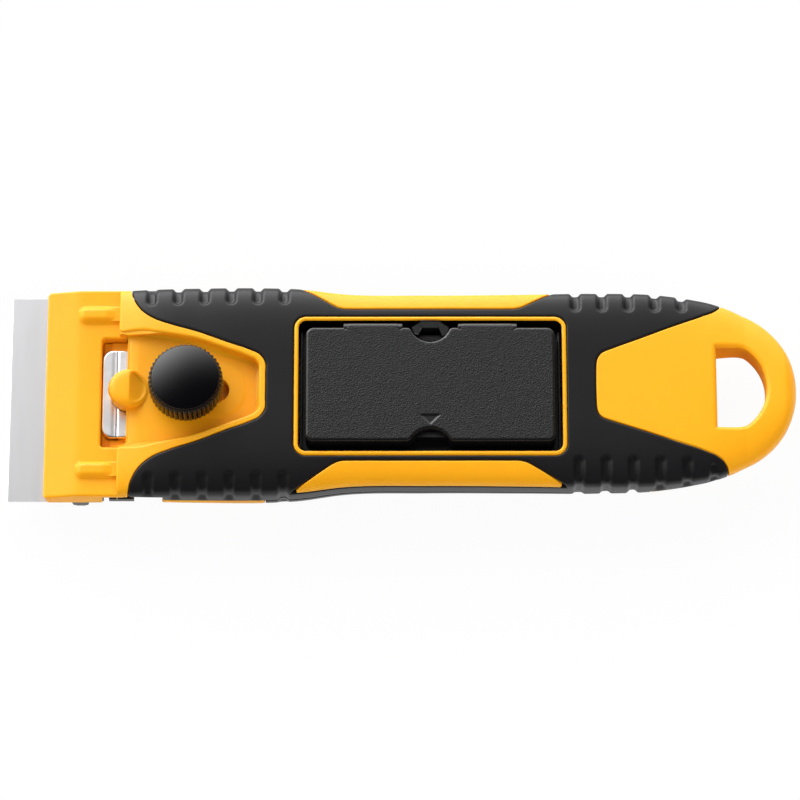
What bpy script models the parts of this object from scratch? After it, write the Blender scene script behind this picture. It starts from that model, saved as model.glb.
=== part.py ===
"""Glass scraper with a clamped blade that slides back and a spare-blade case in its handle.

The tool lies on its back. +X runs from the blade's edge to the tail, +Y towards the hinge side
of the case, and +Z out of the clamp knob. All lengths are in metres.
"""

import math

import bmesh
import bpy
import numpy as np
from mathutils import Matrix, Vector

# Clearances and walls
GAP = 0.0003
OVERRUN = 0.002
MERGE_DISTANCE = 0.0000001
SHARP_ANGLE = math.radians(32)
SHELL_WALL = 0.0014
GRIP_THICKNESS = 0.0012

# Lengths along the tool
BLADE_REACH = 0.00665
HEAD_LENGTH = 0.01355
HANDLE_LENGTH = 0.1255

# Handle body
HANDLE_STEP = 0.0002
HANDLE_HEIGHT = 0.0130
PARTING_HEIGHT = 0.0068
TAIL_RADIUS = 0.0161
TAIL_EDGE = 0.0025
SECTION_POINTS = 32
BODY_STATIONS = 19
TAIL_STATIONS = 7
TAIL_BLEND_ANGLE = math.radians(66)
LAST_TAIL_SHARE = 0.04
NARROWEST_INNER_SHARE = 0.35
BOTTOM_POWER = 3.0
# Along the handle, half width, top, widest level, bottom, and how square the top shoulders are
HANDLE_KEY_SHARES = (
    (0.000, 0.988, 0.838, 0.560, 0.110, 4.5),
    (0.040, 0.993, 0.925, 0.560, 0.080, 4.5),
    (0.123, 1.000, 0.985, 0.565, 0.020, 4.5),
    (0.225, 0.998, 1.005, 0.575, -0.025, 4.5),
    (0.262, 0.988, 1.008, 0.580, -0.027, 4.5),
    (0.335, 0.930, 1.012, 0.590, -0.027, 4.5),
    (0.457, 0.917, 1.015, 0.605, -0.027, 4.5),
    (0.600, 0.922, 1.013, 0.645, -0.020, 4.5),
    (0.700, 0.930, 1.008, 0.680, 0.030, 4.5),
    (0.800, 0.914, 0.997, 0.700, 0.170, 4.2),
    (0.844, 0.878, 0.985, 0.706, 0.290, 3.9),
    (0.879, 0.833, 0.973, 0.708, 0.385, 3.6),
    (0.902, 0.783, 0.962, 0.708, 0.440, 3.3),
    (0.924, 0.719, 0.950, 0.708, 0.475, 3.0),
)
TAIL_TOP_SHARE = 0.950
TAIL_BOTTOM_SHARE = 0.475
TAIL_POWER = 3.0

# Blade
BLADE_WIDTH = 0.040
BLADE_DEPTH_SHARE = 0.4275
BLADE_THICKNESS = 0.0003
BLADE_BEVEL = 0.0010
BLADE_TOP = 0.0051
PEG_SPACING = 0.016
PEG_RADIUS = 0.0013
PEG_SETBACK = 0.0034

# Head
HEAD_MARGIN = 0.00025
HEAD_THICKNESS = 0.0037
HEAD_FRONT_THICKNESS = 0.0024
HEAD_SLOPE_LENGTH = 0.0061
HEAD_CORNER_LENGTH = 0.0013
HEAD_CORNER_DEPTH = 0.00065
HEAD_ROOT = 0.0024
HEAD_RIB_LENGTH = 0.0076
HEAD_RIB_WIDTH = 0.0029
HEAD_RIB_HEIGHT = 0.0007
HEAD_RIB_INSET = 0.0050
WINDOW_WIDTH = 0.0214
WINDOW_CORNER = 0.0006
NOSE_SETBACK = 0.0015
NOSE_BOTTOM = 0.0086
RELIEF_HEIGHT = 0.0082
RELIEF_DEPTH = 0.0018
RELIEF_LENGTH = 0.01095

# Clamp, its slot and its recess
CLAMP_SETBACK = 0.0128
BLADE_TRAVEL = 0.0052
BOLT_RADIUS = 0.0020
BOLT_HEAD_RADIUS = 0.0038
BOLT_HEAD_THICKNESS = 0.0010
BOLT_TOP = 0.0152
RECESS_FLOOR = 0.0103
RECESS_LIP = 0.0010
RECESS_MARGIN = 0.0014
PAD_HEIGHT = 0.0002
PAD_RADIUS = 0.0053
NUB_RADIUS = 0.0035
NUB_HEIGHT = 0.0143
NUB_SEGMENTS = 24
WASHER_THICKNESS = 0.0006
WASHER_RADIUS = 0.0052
SPRING_THICKNESS = 0.0008
SPRING_RADIUS = 0.0041
SPRING_SLIT = 0.0008
KNOB_RADIUS = 0.0069
KNOB_TOOTH_DEPTH = 0.00032
KNOB_TEETH = 44
# Corners of one tooth: share of the pitch, share of the tooth depth
KNOB_TOOTH_SHARES = ((0.00, 0), (0.45, 0), (0.72, 1))
KNOB_BASE = 0.0121
KNOB_SKIRT = 0.0046
KNOB_COLLAR = 0.0007
KNOB_WEB = 0.0006
CAP_RADIUS = 0.00617
CAP_SEAT = 0.0005
CAP_RIM = 0.0005
CAP_DOME = 0.0007
CAP_POINTS = 7
INSERT_ACROSS_FLATS = 0.0070
INSERT_THICKNESS = 0.0022
SCREW_STEPS = 48

# Blade carrier
SLIDER_TOP = 0.0083
SLIDER_FLOOR = 0.0072
SLIDER_STEP = 0.0004
SLIDER_STEP_LENGTH = 0.0015
SLIDER_TAIL = 0.0076
BAR_LENGTH = 0.0172
BAR_WIDTH = 0.0047
BAR_THICKNESS = 0.00175
BAR_GROOVE_WIDTH = 0.0004
BAR_GROOVE_DEPTH = 0.0003
BAR_SETBACK = 0.00015
PLATE_THICKNESS = 0.0012
PLATE_INSET = 0.0007
PLATE_EAR_LENGTH = 0.0046
PLATE_NOTCH_LENGTH = 0.0010
PLATE_NOTCH_DEPTH = 0.0016
TONGUE_MARGIN = 0.0003
PLATE_RIB_LENGTH = 0.0033
PLATE_RIB_HEIGHT = 0.0018
PLATE_RIB_SLOPE = 0.0006
PLATE_RIB_SETBACK = 0.0050

# Outline of the yellow nose: share of its length, share of the handle's half width
NOSE_OUTLINE_SHARES = (
    (0.075, 1.05), (0.098, 0.88), (0.158, 0.748), (0.240, 0.665), (0.358, 0.601),
    (0.531, 0.528), (0.745, 0.418), (0.900, 0.342), (0.959, 0.311), (1.000, 0.225),
)
# Outline of the yellow tail from its front edge: share of its length, share of the half width
TAIL_SPAN_SHARE = 0.1946
TAIL_START_SHARE = 0.7050
TAIL_OUTLINE_SHARES = (
    (0.000, 0.240), (0.060, 0.312), (0.620, 0.572), (0.820, 0.645), (0.935, 0.722),
    (0.985, 0.800), (1.000, 1.050),
)
# Half outline of a waist insert: share of its half length, share of the way from lip to flank
INSERT_HALF_LENGTH = 0.0244
INSERT_BOTTOM_SHARE = 0.77
INSERT_OUTLINE_SHARES = (
    (0.705, 0.190), (0.780, 0.290), (0.925, 0.640), (0.985, 0.866), (1.005, 1.300),
)

# Grip grooves
GROOVE_WIDTH = 0.0020
GROOVE_DEPTH = 0.0006
GROOVE_PITCH = 0.0050
GROOVE_REACH_SHARE = 0.782
FRONT_GROOVES = 6
REAR_GROOVES = 5
FRONT_GROOVE_START = 0.0062
REAR_GROOVE_START = 0.0848

# Hang hole
HANG_RADIUS = 0.0092
HANG_WIDTH = 0.0156
HANG_SETBACK = 0.0148

# Spare-blade case
CASE_SETBACK = 0.0578
CASE_FLOOR = 0.0080
CASE_MARGIN_X = 0.0013
CASE_MARGIN_Y = 0.0016
CASE_CORNER = 0.0014
CASE_WALL = 0.0010
LIP_WIDTH = 0.00085
TRAY_SIDE_ROOM = 0.0007
TRAY_WALL_HEIGHT = 0.0031
LID_TOP_THICKNESS = 0.0012
LID_CORNER = 0.0008
KNUCKLE_RADIUS = 0.00095
KNUCKLE_LENGTH = 0.01095
KNUCKLE_INNER = 0.0051
PIN_RADIUS = 0.00045
POST_WIDTH = 0.0052
POST_TIP_WIDTH = 0.0030
POST_WEB = 0.0028
POST_RISE = 0.0007
POST_DEPTH = 0.0023
LID_NOTCH_RADIUS = 0.0037
FINGER_NOTCH_RADIUS = 0.0041
FINGER_NOTCH_DEPTH = 0.0024
SPARE_BLADES = 3

# Lower shell and screws
LOWER_FRONT = 0.00835
LOWER_REAR_ROOM = 0.02055
CHANNEL_FLOOR = 0.0030
BOLT_CHANNEL_FLOOR = 0.0016
CAVITY_FRONT_SHARE = 0.30
CAVITY_REAR_SHARE = 0.97
SHELL_RIB_THICKNESS = 0.0012
SHELL_RIB_SHARES = (0.43, 0.57, 0.71)
LOWER_GRIP_SETBACK = 0.0165
LOWER_GRIP_REAR_SETBACK = 0.0035
# Half outline of the lower grip: share of its length, share of the handle's half width
LOWER_GRIP_SHARES = (
    (0.000, 1.050), (0.012, 0.720), (0.060, 0.560), (0.200, 0.250), (0.215, 0.120),
    (0.215, -0.120), (0.200, -0.250), (0.060, -0.560), (0.012, -0.720), (0.000, -1.050),
    (1.000, -1.050), (0.985, -0.640), (0.880, -0.260), (0.868, -0.120),
    (0.868, 0.120), (0.880, 0.260), (0.985, 0.640), (1.000, 1.050),
)
SCREW_RADIUS = 0.00125
SCREW_HEAD_RADIUS = 0.0024
SCREW_HEAD_HEIGHT = 0.0013
SCREW_BOTTOM = 0.0021
SCREW_TIP = 0.0100
SCREW_SOCKET_DEPTH = 0.0007
SCREW_SOCKET_RADIUS = 0.0010
BOSS_WALL = 0.0012
SCREW_ROOMS = (0.0055, 0.0082)
SCREW_SPREAD_SHARES = (0.690, 0.600)

# Places that follow from the sizes above
BLADE_EDGE = -(BLADE_REACH + HEAD_LENGTH + HANDLE_LENGTH) / 2
HEAD_FRONT = BLADE_EDGE + BLADE_REACH
FORK_TIP = HEAD_FRONT + HEAD_LENGTH
TAIL_END = FORK_TIP + HANDLE_LENGTH
BLADE_DEPTH = BLADE_DEPTH_SHARE * BLADE_WIDTH
HEAD_WIDTH = BLADE_WIDTH + 2 * HEAD_MARGIN
HEAD_RIB_SPACING = HEAD_WIDTH - 2 * HEAD_RIB_INSET
PLATE_WIDTH = BLADE_WIDTH - 2 * PLATE_INSET
HANDLE_WIDTH = HEAD_WIDTH + 2 * HANDLE_STEP
HALF_WIDTH = HANDLE_WIDTH / 2
BLADE_BACK = BLADE_EDGE + BLADE_DEPTH
BLADE_BOTTOM = BLADE_TOP - BLADE_THICKNESS
HEAD_BOTTOM = BLADE_TOP + GAP
HEAD_TOP = HEAD_BOTTOM + HEAD_THICKNESS
WINDOW_FRONT = BLADE_BACK
RELIEF_FRONT = BLADE_BACK + 2 * GAP
NOSE_FRONT = FORK_TIP + NOSE_SETBACK
CLAMP_X = FORK_TIP + CLAMP_SETBACK
SLOT_HALF_WIDTH = BOLT_RADIUS + GAP
SLOT_END = CLAMP_X + BLADE_TRAVEL + GAP
NOSE_TIP = CLAMP_X + BLADE_TRAVEL + KNOB_RADIUS + RECESS_MARGIN + RECESS_LIP
NOSE_LENGTH = NOSE_TIP - FORK_TIP
PAD_TOP = RECESS_FLOOR + PAD_HEIGHT
WASHER_BOTTOM = PAD_TOP + GAP
SPRING_BOTTOM = WASHER_BOTTOM + WASHER_THICKNESS + GAP
COUNTERBORE_TOP = SPRING_BOTTOM + SPRING_THICKNESS + GAP
INSERT_BOTTOM = COUNTERBORE_TOP + KNOB_WEB
INSERT_TOP = INSERT_BOTTOM + INSERT_THICKNESS
KNOB_TOP = KNOB_BASE + KNOB_SKIRT
PLATE_TOP = BLADE_BOTTOM - GAP
PLATE_BOTTOM = PLATE_TOP - PLATE_THICKNESS
SLIDER_FRONT = BLADE_BACK + GAP
SLIDER_BACK = CLAMP_X + SLIDER_TAIL
CHANNEL_BACK = SLIDER_BACK + BLADE_TRAVEL + GAP
SLIDER_HALF_WIDTH = WINDOW_WIDTH / 2 - GAP
TONGUE_WIDTH = WINDOW_WIDTH + 2 * TONGUE_MARGIN
UPPER_BOTTOM = PARTING_HEIGHT + GAP / 2
LOWER_TOP = PARTING_HEIGHT - GAP / 2
TAIL_CENTRE = TAIL_END - TAIL_RADIUS
CASE_X = FORK_TIP + CASE_SETBACK
TRAY_INNER = (BLADE_WIDTH + 2 * TRAY_SIDE_ROOM, BLADE_DEPTH + 2 * GAP)
TRAY_OUTER = tuple(side + 2 * CASE_WALL for side in TRAY_INNER)
LID_INNER = tuple(side + 2 * GAP for side in TRAY_OUTER)
LID_OUTER = tuple(side + 2 * CASE_WALL for side in LID_INNER)
CASE_OPENING = (LID_OUTER[0] + 2 * CASE_MARGIN_X, LID_OUTER[1] + 2 * CASE_MARGIN_Y)
LIP_OUTER = tuple(side + 2 * LIP_WIDTH for side in CASE_OPENING)
TRAY_BOTTOM = CASE_FLOOR + GAP
TRAY_FLOOR = TRAY_BOTTOM + CASE_WALL
TRAY_TOP = TRAY_FLOOR + TRAY_WALL_HEIGHT
LID_BOTTOM = TRAY_FLOOR + GAP
LID_UNDERSIDE = TRAY_TOP + GAP
LID_TOP = LID_UNDERSIDE + LID_TOP_THICKNESS
HINGE_Y = LID_OUTER[1] / 2
HINGE_Z = LID_TOP - KNUCKLE_RADIUS
LOWER_SHELL_FRONT = FORK_TIP + LOWER_FRONT
CASE_HALF_LENGTH = CASE_OPENING[0] / 2 - GAP
LOWER_SHELL_BACK = CASE_X + CASE_HALF_LENGTH + LOWER_REAR_ROOM
LOWER_LENGTH = LOWER_SHELL_BACK - LOWER_SHELL_FRONT
LOWER_GRIP_FRONT = LOWER_SHELL_FRONT + LOWER_GRIP_SETBACK
LOWER_GRIP_LENGTH = LOWER_LENGTH - LOWER_GRIP_SETBACK - LOWER_GRIP_REAR_SETBACK
ABOVE_ALL = 2 * HANDLE_HEIGHT
BEYOND = HANDLE_WIDTH

# Colours in linear light, roughness, metallic
FINISHES = {
    "yellow_plastic": ((0.93, 0.42, 0.025), 0.38, 0.0),
    "black_rubber": ((0.026, 0.026, 0.029), 0.72, 0.0),
    "black_plastic": ((0.018, 0.018, 0.020), 0.50, 0.0),
    "gloss_black": ((0.008, 0.008, 0.010), 0.12, 0.0),
    "blade_steel": ((0.62, 0.62, 0.65), 0.28, 1.0),
    "zinc_steel": ((0.55, 0.55, 0.57), 0.38, 1.0),
}


def clear_scene():
    for item in list(bpy.data.objects):
        bpy.data.objects.remove(item, do_unlink=True)


clear_scene()
PARTS = bpy.data.collections.new("glass_scraper")
CUTTERS = bpy.data.collections.new("cutters")
bpy.context.scene.collection.children.link(PARTS)
bpy.context.scene.collection.children.link(CUTTERS)
CUTTERS.hide_render = True


def finish_material(name):
    """One Principled material for each finish, shared by the pieces that have it."""
    material = bpy.data.materials.get(name)
    if material:
        return material
    colour, roughness, metallic = FINISHES[name]
    material = bpy.data.materials.new(name)
    material.use_nodes = True
    shader = material.node_tree.nodes["Principled BSDF"]
    shader.inputs["Base Color"].default_value = (*colour, 1.0)
    shader.inputs["Roughness"].default_value = roughness
    shader.inputs["Metallic"].default_value = metallic
    material.diffuse_color = (*colour, 1.0)
    return material


def cutter(name, mesh):
    """A helper solid that only cuts, joins or trims a piece."""
    body = bpy.data.objects.new(name + "_helper", mesh)
    CUTTERS.objects.link(body)
    body.hide_render = True
    body.display_type = "WIRE"
    return body


def mesh_from(shape, name):
    """A mesh from a bmesh, with its faces turned outwards."""
    bmesh.ops.recalc_face_normals(shape, faces=shape.faces)
    mesh = bpy.data.meshes.new(name)
    shape.to_mesh(mesh)
    shape.free()
    return mesh


def block(name, low, high):
    """A box between two opposite corners."""
    low, high = Vector(low), Vector(high)
    shape = bmesh.new()
    bmesh.ops.create_cube(shape, size=1.0)
    bmesh.ops.scale(shape, vec=high - low, verts=shape.verts)
    bmesh.ops.translate(shape, vec=(low + high) / 2, verts=shape.verts)
    return cutter(name, mesh_from(shape, name))


def rod(name, radius, start, end, sides=32):
    """A cylinder from one point to another."""
    start, end = Vector(start), Vector(end)
    shape = bmesh.new()
    bmesh.ops.create_cone(shape, cap_ends=True, segments=sides, radius1=radius, radius2=radius,
                          depth=(end - start).length)
    turn = Vector((0, 0, 1)).rotation_difference(end - start).to_matrix()
    bmesh.ops.rotate(shape, cent=(0, 0, 0), matrix=turn, verts=shape.verts)
    bmesh.ops.translate(shape, vec=(start + end) / 2, verts=shape.verts)
    return cutter(name, mesh_from(shape, name))


def settled(name, guide):
    """A plain cutter from a curve, Screw or Boolean stack, merged and with faces turned outwards."""
    if not guide.users_collection:
        CUTTERS.objects.link(guide)
    bpy.context.view_layer.update()
    graph = bpy.context.evaluated_depsgraph_get()
    mesh = bpy.data.meshes.new_from_object(guide.evaluated_get(graph))
    place = guide.matrix_world.copy()
    shape = bmesh.new()
    shape.from_mesh(mesh)
    bmesh.ops.remove_doubles(shape, verts=shape.verts, dist=MERGE_DISTANCE)
    bmesh.ops.transform(shape, matrix=place, verts=shape.verts)
    bpy.data.objects.remove(guide)
    return cutter(name, mesh_from(shape, name))


def curve_solid(name, outlines, thickness, place):
    """A flat outline, with any holes in it, given thickness and put in place by a matrix."""
    curve = bpy.data.curves.new(name, "CURVE")
    curve.dimensions = "2D"
    curve.fill_mode = "BOTH"
    curve.extrude = thickness / 2
    for outline in outlines:
        spline = curve.splines.new("POLY")
        spline.points.add(len(outline) - 1)
        for point, (across, up) in zip(spline.points, outline):
            point.co = (across, up, 0, 1)
        spline.use_cyclic_u = True
    guide = bpy.data.objects.new(name, curve)
    guide.matrix_world = place
    return settled(name, guide)


def slab(name, outline, bottom, top, holes=()):
    """A plan outline extruded between two levels."""
    return curve_solid(name, (outline, *holes), top - bottom,
                       Matrix.Translation((0, 0, (bottom + top) / 2)))


def crossbar(name, outline, half_width, middle=0.0):
    """A side outline, as x and z pairs, extruded across the tool."""
    upright = Matrix.Rotation(math.radians(90), 4, "X")
    return curve_solid(name, (outline,), 2 * half_width, Matrix.Translation((0, middle, 0)) @ upright)


def combine(body, others, operation):
    """One exact Boolean after another, each followed by a tidy of its thin leftovers."""
    for other in others:
        modifier = body.modifiers.new(other.name, "BOOLEAN")
        modifier.operation = operation
        modifier.solver = "EXACT"
        modifier.object = other
        bpy.context.view_layer.update()
        graph = bpy.context.evaluated_depsgraph_get()
        mesh = bpy.data.meshes.new_from_object(body.evaluated_get(graph))
        body.modifiers.clear()
        shape = bmesh.new()
        shape.from_mesh(mesh)
        bmesh.ops.remove_doubles(shape, verts=shape.verts, dist=MERGE_DISTANCE)
        bmesh.ops.dissolve_degenerate(shape, dist=MERGE_DISTANCE, edges=shape.edges)
        shape.to_mesh(body.data)
        shape.free()
    return body


def cut(body, *others):
    return combine(body, others, "DIFFERENCE")


def join(body, *others):
    return combine(body, others, "UNION")


def keep(body, *others):
    return combine(body, others, "INTERSECT")


def piece(body, name, finish, pivot=(0, 0, 0)):
    """Turn a solid with its Boolean stack into a named piece with its origin on a pivot."""
    mesh = settled(name, body).data
    mesh.transform(Matrix.Translation(-Vector(pivot)))
    mesh.materials.clear()
    mesh.materials.append(finish_material(finish))
    mesh.shade_smooth()
    mesh.set_sharp_from_angle(angle=SHARP_ANGLE)
    part = bpy.data.objects.new(name, mesh)
    part.location = pivot
    PARTS.objects.link(part)
    return part


def turned(name, profile, centre, sides=SCREW_STEPS):
    """A solid of revolution about Z: a profile of radius and height pairs, outer side downwards."""
    mesh = bpy.data.meshes.new(name)
    points = [(radius, 0, height) for radius, height in profile]
    closed = all(radius > 0 for radius, _ in profile)
    edges = [(i, i + 1) for i in range(len(points) - 1)]
    if closed:
        edges.append((len(points) - 1, 0))
    mesh.from_pydata(points, edges, [])
    guide = bpy.data.objects.new(name, mesh)
    guide.location = centre
    screw = guide.modifiers.new("turn", "SCREW")
    screw.steps = sides
    screw.render_steps = sides
    screw.use_merge_vertices = True
    screw.merge_threshold = MERGE_DISTANCE
    return settled(name, guide)


def smooth_through(at, knots, values):
    """Cubic curve through the knots whose slope at each is taken from its neighbours."""
    slopes = np.gradient(values, knots)
    index = np.clip(np.searchsorted(knots, at) - 1, 0, len(knots) - 2)
    span = knots[index + 1] - knots[index]
    t = (at - knots[index]) / span
    return ((1 + 2 * t) * (1 - t) ** 2 * values[index] + t * (1 - t) ** 2 * span * slopes[index]
            + t * t * (3 - 2 * t) * values[index + 1] - t * t * (1 - t) * span * slopes[index + 1])


def handle_stations():
    """Rows of x, half width, top, widest level, bottom and shoulder power, fork to tail end."""
    keys = np.array(HANDLE_KEY_SHARES)
    blend_x = TAIL_CENTRE + TAIL_RADIUS * math.cos(TAIL_BLEND_ANGLE)
    knots = FORK_TIP + keys[:, 0] * HANDLE_LENGTH
    knots[-1] = blend_x
    widths = keys[:, 1] * HALF_WIDTH
    widths[-1] = TAIL_RADIUS * math.sin(TAIL_BLEND_ANGLE)
    x = np.linspace(FORK_TIP, blend_x, BODY_STATIONS)
    body = [x, smooth_through(x, knots, widths)]
    body += [smooth_through(x, knots, keys[:, column] * HANDLE_HEIGHT) for column in (2, 3, 4)]
    body.append(smooth_through(x, knots, keys[:, 5]))
    depth = (TAIL_END - blend_x) * np.linspace(1, LAST_TAIL_SHARE, TAIL_STATIONS + 1)[1:] ** 2
    round_off = np.sqrt(1 - np.clip(1 - depth / TAIL_EDGE, 0, 1) ** 2)
    widest = np.full(TAIL_STATIONS, keys[-1, 3] * HANDLE_HEIGHT)
    tail = [TAIL_END - depth, np.sqrt(2 * TAIL_RADIUS * depth - depth ** 2)]
    tail.append(widest + (TAIL_TOP_SHARE * HANDLE_HEIGHT - widest) * round_off)
    tail.append(widest)
    tail.append(widest - (widest - TAIL_BOTTOM_SHARE * HANDLE_HEIGHT) * round_off)
    tail.append(np.full(TAIL_STATIONS, TAIL_POWER))
    return np.hstack((np.array(body), np.array(tail))).T


def section_ring(station, inset):
    """Points round the handle at one station: half superellipses above and below its widest line."""
    x, half_width, top, widest, bottom, power = station
    angle = np.linspace(0, 2 * math.pi, SECTION_POINTS, endpoint=False)
    side, rise = np.cos(angle).round(9), np.sin(angle).round(9)
    above = rise > 0
    power = np.where(above, power, BOTTOM_POWER)
    reach = np.where(above, top - inset - widest, widest - bottom - inset)
    y = (half_width - inset) * np.sign(side) * np.abs(side) ** (2 / power)
    z = widest + reach * np.sign(rise) * np.abs(rise) ** (2 / power)
    return np.column_stack((np.full(SECTION_POINTS, x), y, z))


def handle_loft(name, inset):
    """The handle's outer form, drawn in by an inset, as a closed loft of its sections."""
    stations = handle_stations()
    if inset:
        stations[0, 0] -= OVERRUN
    if inset > 0:
        top, widest, bottom = stations[:, 2:5].T
        thick = np.minimum(top - widest, widest - bottom) > inset + GAP
        stations = stations[thick & (stations[:, 1] > NARROWEST_INNER_SHARE * HALF_WIDTH)]
    rings = np.array([section_ring(station, inset) for station in stations])
    shape = bmesh.new()
    loops = [[shape.verts.new(point) for point in ring] for ring in rings]
    for one, other in zip(loops, loops[1:]):
        for i in range(SECTION_POINTS):
            j = (i + 1) % SECTION_POINTS
            shape.faces.new((one[i], one[j], other[j], other[i]))
    shape.faces.new(loops[0])
    shape.faces.new(reversed(loops[-1]))
    bmesh.ops.triangulate(shape, faces=shape.faces)
    return cutter(name, mesh_from(shape, name))


def grown(outline, distance):
    """A counter-clockwise outline moved out by a distance, each corner along its mitre."""
    points = np.asarray(outline, float)
    along = np.roll(points, -1, axis=0) - points
    along /= np.linalg.norm(along, axis=1, keepdims=True)
    outward = np.column_stack((along[:, 1], -along[:, 0]))
    before = np.roll(outward, 1, axis=0)
    mitre = (before + outward) / (1 + np.sum(before * outward, axis=1, keepdims=True))
    return points + distance * mitre


def rounded_rectangle(centre, size, radius, steps=4):
    """A counter-clockwise rectangle with arcs at its corners."""
    outline = []
    for quarter in range(4):
        across = 1 if quarter in (0, 3) else -1
        up = 1 if quarter in (0, 1) else -1
        corner = Vector((centre[0] + across * (size[0] / 2 - radius),
                         centre[1] + up * (size[1] / 2 - radius)))
        for step in range(steps + 1):
            angle = math.radians(90) * (quarter + step / steps)
            outline.append(corner + radius * Vector((math.cos(angle), math.sin(angle))))
    return outline


def circle(centre, radius, sides=24):
    angles = np.linspace(0, 2 * math.pi, sides, endpoint=False)
    return [(centre[0] + radius * math.cos(a), centre[1] + radius * math.sin(a)) for a in angles]


def nose_outline():
    """Plan outline of the yellow nose, counter-clockwise, closed well ahead of the head."""
    half = [(FORK_TIP + along * NOSE_LENGTH, across * HALF_WIDTH)
            for along, across in NOSE_OUTLINE_SHARES]
    start = half[0][0]
    far = [(x, y) for x, y in reversed(half)]
    near = [(x, -y) for x, y in half]
    return ([(BLADE_EDGE, -BEYOND), (start, -BEYOND)] + near + far
            + [(start, BEYOND), (BLADE_EDGE, BEYOND)])


def tail_outline():
    """Plan outline of the yellow tail, counter-clockwise, closed well past its end."""
    start = FORK_TIP + TAIL_START_SHARE * HANDLE_LENGTH
    span = TAIL_SPAN_SHARE * HANDLE_LENGTH
    half = [(start + along * span, across * HALF_WIDTH) for along, across in TAIL_OUTLINE_SHARES]
    back = TAIL_END + OVERRUN
    far = [(x, y) for x, y in reversed(half)]
    near = [(x, -y) for x, y in half]
    return ([(half[-1][0], BEYOND)] + far + near
            + [(half[-1][0], -BEYOND), (back, -BEYOND), (back, BEYOND)])


def insert_outline(side):
    """Plan outline of one waist insert, counter-clockwise, open past the handle's flank."""
    lip = LIP_OUTER[1] / 2
    half = [(along * INSERT_HALF_LENGTH, lip + across * (HALF_WIDTH - lip))
            for along, across in INSERT_OUTLINE_SHARES]
    end = half[-1][0]
    points = [(CASE_X - end, BEYOND)] + [(CASE_X - x, y) for x, y in reversed(half)]
    points += [(CASE_X + x, y) for x, y in half] + [(CASE_X + end, BEYOND)]
    if side > 0:
        return points
    return [(x, -y) for x, y in reversed(points)]


def recess_outline():
    """The nose outline drawn in by the lip, and within the nose plate's width ahead of the knob."""
    inner = grown(nose_outline(), -RECESS_LIP)
    half = WINDOW_WIDTH / 2 - GAP
    near = inner[(inner[:, 1] < 0) & (inner[:, 0] > FORK_TIP)]
    crossing = np.interp(-half, near[:, 1], near[:, 0])
    tip = [(x, y) for x, y in inner if abs(y) < half]
    return ([(FORK_TIP, -half), (crossing, -half)] + tip + [(crossing, half), (FORK_TIP, half)])


def screw_places():
    """Two ahead of the case and two behind it, each pair at one spread."""
    return [(CASE_X + end * (CASE_HALF_LENGTH + room), side * spread * HALF_WIDTH)
            for end, room, spread in zip((-1, 1), SCREW_ROOMS, SCREW_SPREAD_SHARES)
            for side in (1, -1)]


def upper_grip_skin(name, outer_inset, inner_inset, clearance):
    """The skin over the upper shell less the nose, tail, waist inserts and case opening."""
    skin = handle_loft(name, outer_inset)
    bottom = UPPER_BOTTOM if not clearance else -OVERRUN
    cut(skin, handle_loft(name + "_inside", inner_inset))
    cut(skin, block(name + "_below", (BLADE_EDGE, -BEYOND, -BEYOND), (TAIL_END, BEYOND, bottom)))
    cut(skin, slab(name + "_nose", grown(nose_outline(), -clearance), -OVERRUN, ABOVE_ALL))
    cut(skin, slab(name + "_tail", grown(tail_outline(), -clearance), -OVERRUN, ABOVE_ALL))
    opening = rounded_rectangle((CASE_X, 0), LIP_OUTER, CASE_CORNER + LIP_WIDTH)
    cut(skin, slab(name + "_case", grown(opening, GAP - clearance), -OVERRUN, ABOVE_ALL))
    low = INSERT_BOTTOM_SHARE * HANDLE_HEIGHT + clearance
    for side in (1, -1):
        outline = grown(insert_outline(side), -clearance)
        cut(skin, slab(name + "_insert", outline, low, ABOVE_ALL))
    return settled(name, skin)


def grip_grooves():
    """Bars with rounded inner ends over the shoulders, trimmed to the groove's depth."""
    starts = [FRONT_GROOVE_START + i * GROOVE_PITCH for i in range(FRONT_GROOVES)]
    starts += [REAR_GROOVE_START + i * GROOVE_PITCH for i in range(REAR_GROOVES)]
    bars = []
    for start in starts:
        for side in (1, -1):
            inner = GROOVE_REACH_SHARE * HALF_WIDTH + GROOVE_WIDTH / 2
            middle = (FORK_TIP + start, side * (inner + BEYOND) / 2)
            size = (GROOVE_WIDTH, BEYOND - inner + GROOVE_WIDTH)
            outline = rounded_rectangle(middle, size, GROOVE_WIDTH / 2 * 0.98, 3)
            bars.append(slab("groove", outline, -OVERRUN, ABOVE_ALL))
    whole = bmesh.new()
    for bar in bars:
        whole.from_mesh(bar.data)
        bpy.data.objects.remove(bar)
    grooves = cutter("grooves", mesh_from(whole, "grooves"))
    return settled("grooves", cut(grooves, handle_loft("groove_floor", GROOVE_DEPTH)))


def side_relief(name, bottom_gap):
    """Open space under both edges of the fork, in which the backing plate's ears slide."""
    inner = HEAD_WIDTH / 2 - RELIEF_DEPTH
    back = LOWER_SHELL_FRONT
    bars = [block(name, (RELIEF_FRONT + GAP, side * inner, -OVERRUN),
                  (back, side * BEYOND, RELIEF_HEIGHT + bottom_gap)) for side in (1, -1)]
    return bars


def make_upper_grip():
    grip = upper_grip_skin("upper_grip_skin", 0, GRIP_THICKNESS, 0)
    cut(grip, *side_relief("grip_relief", GAP))
    cut(grip, grip_grooves())
    piece(grip, "upper_grip", "black_rubber")


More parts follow.
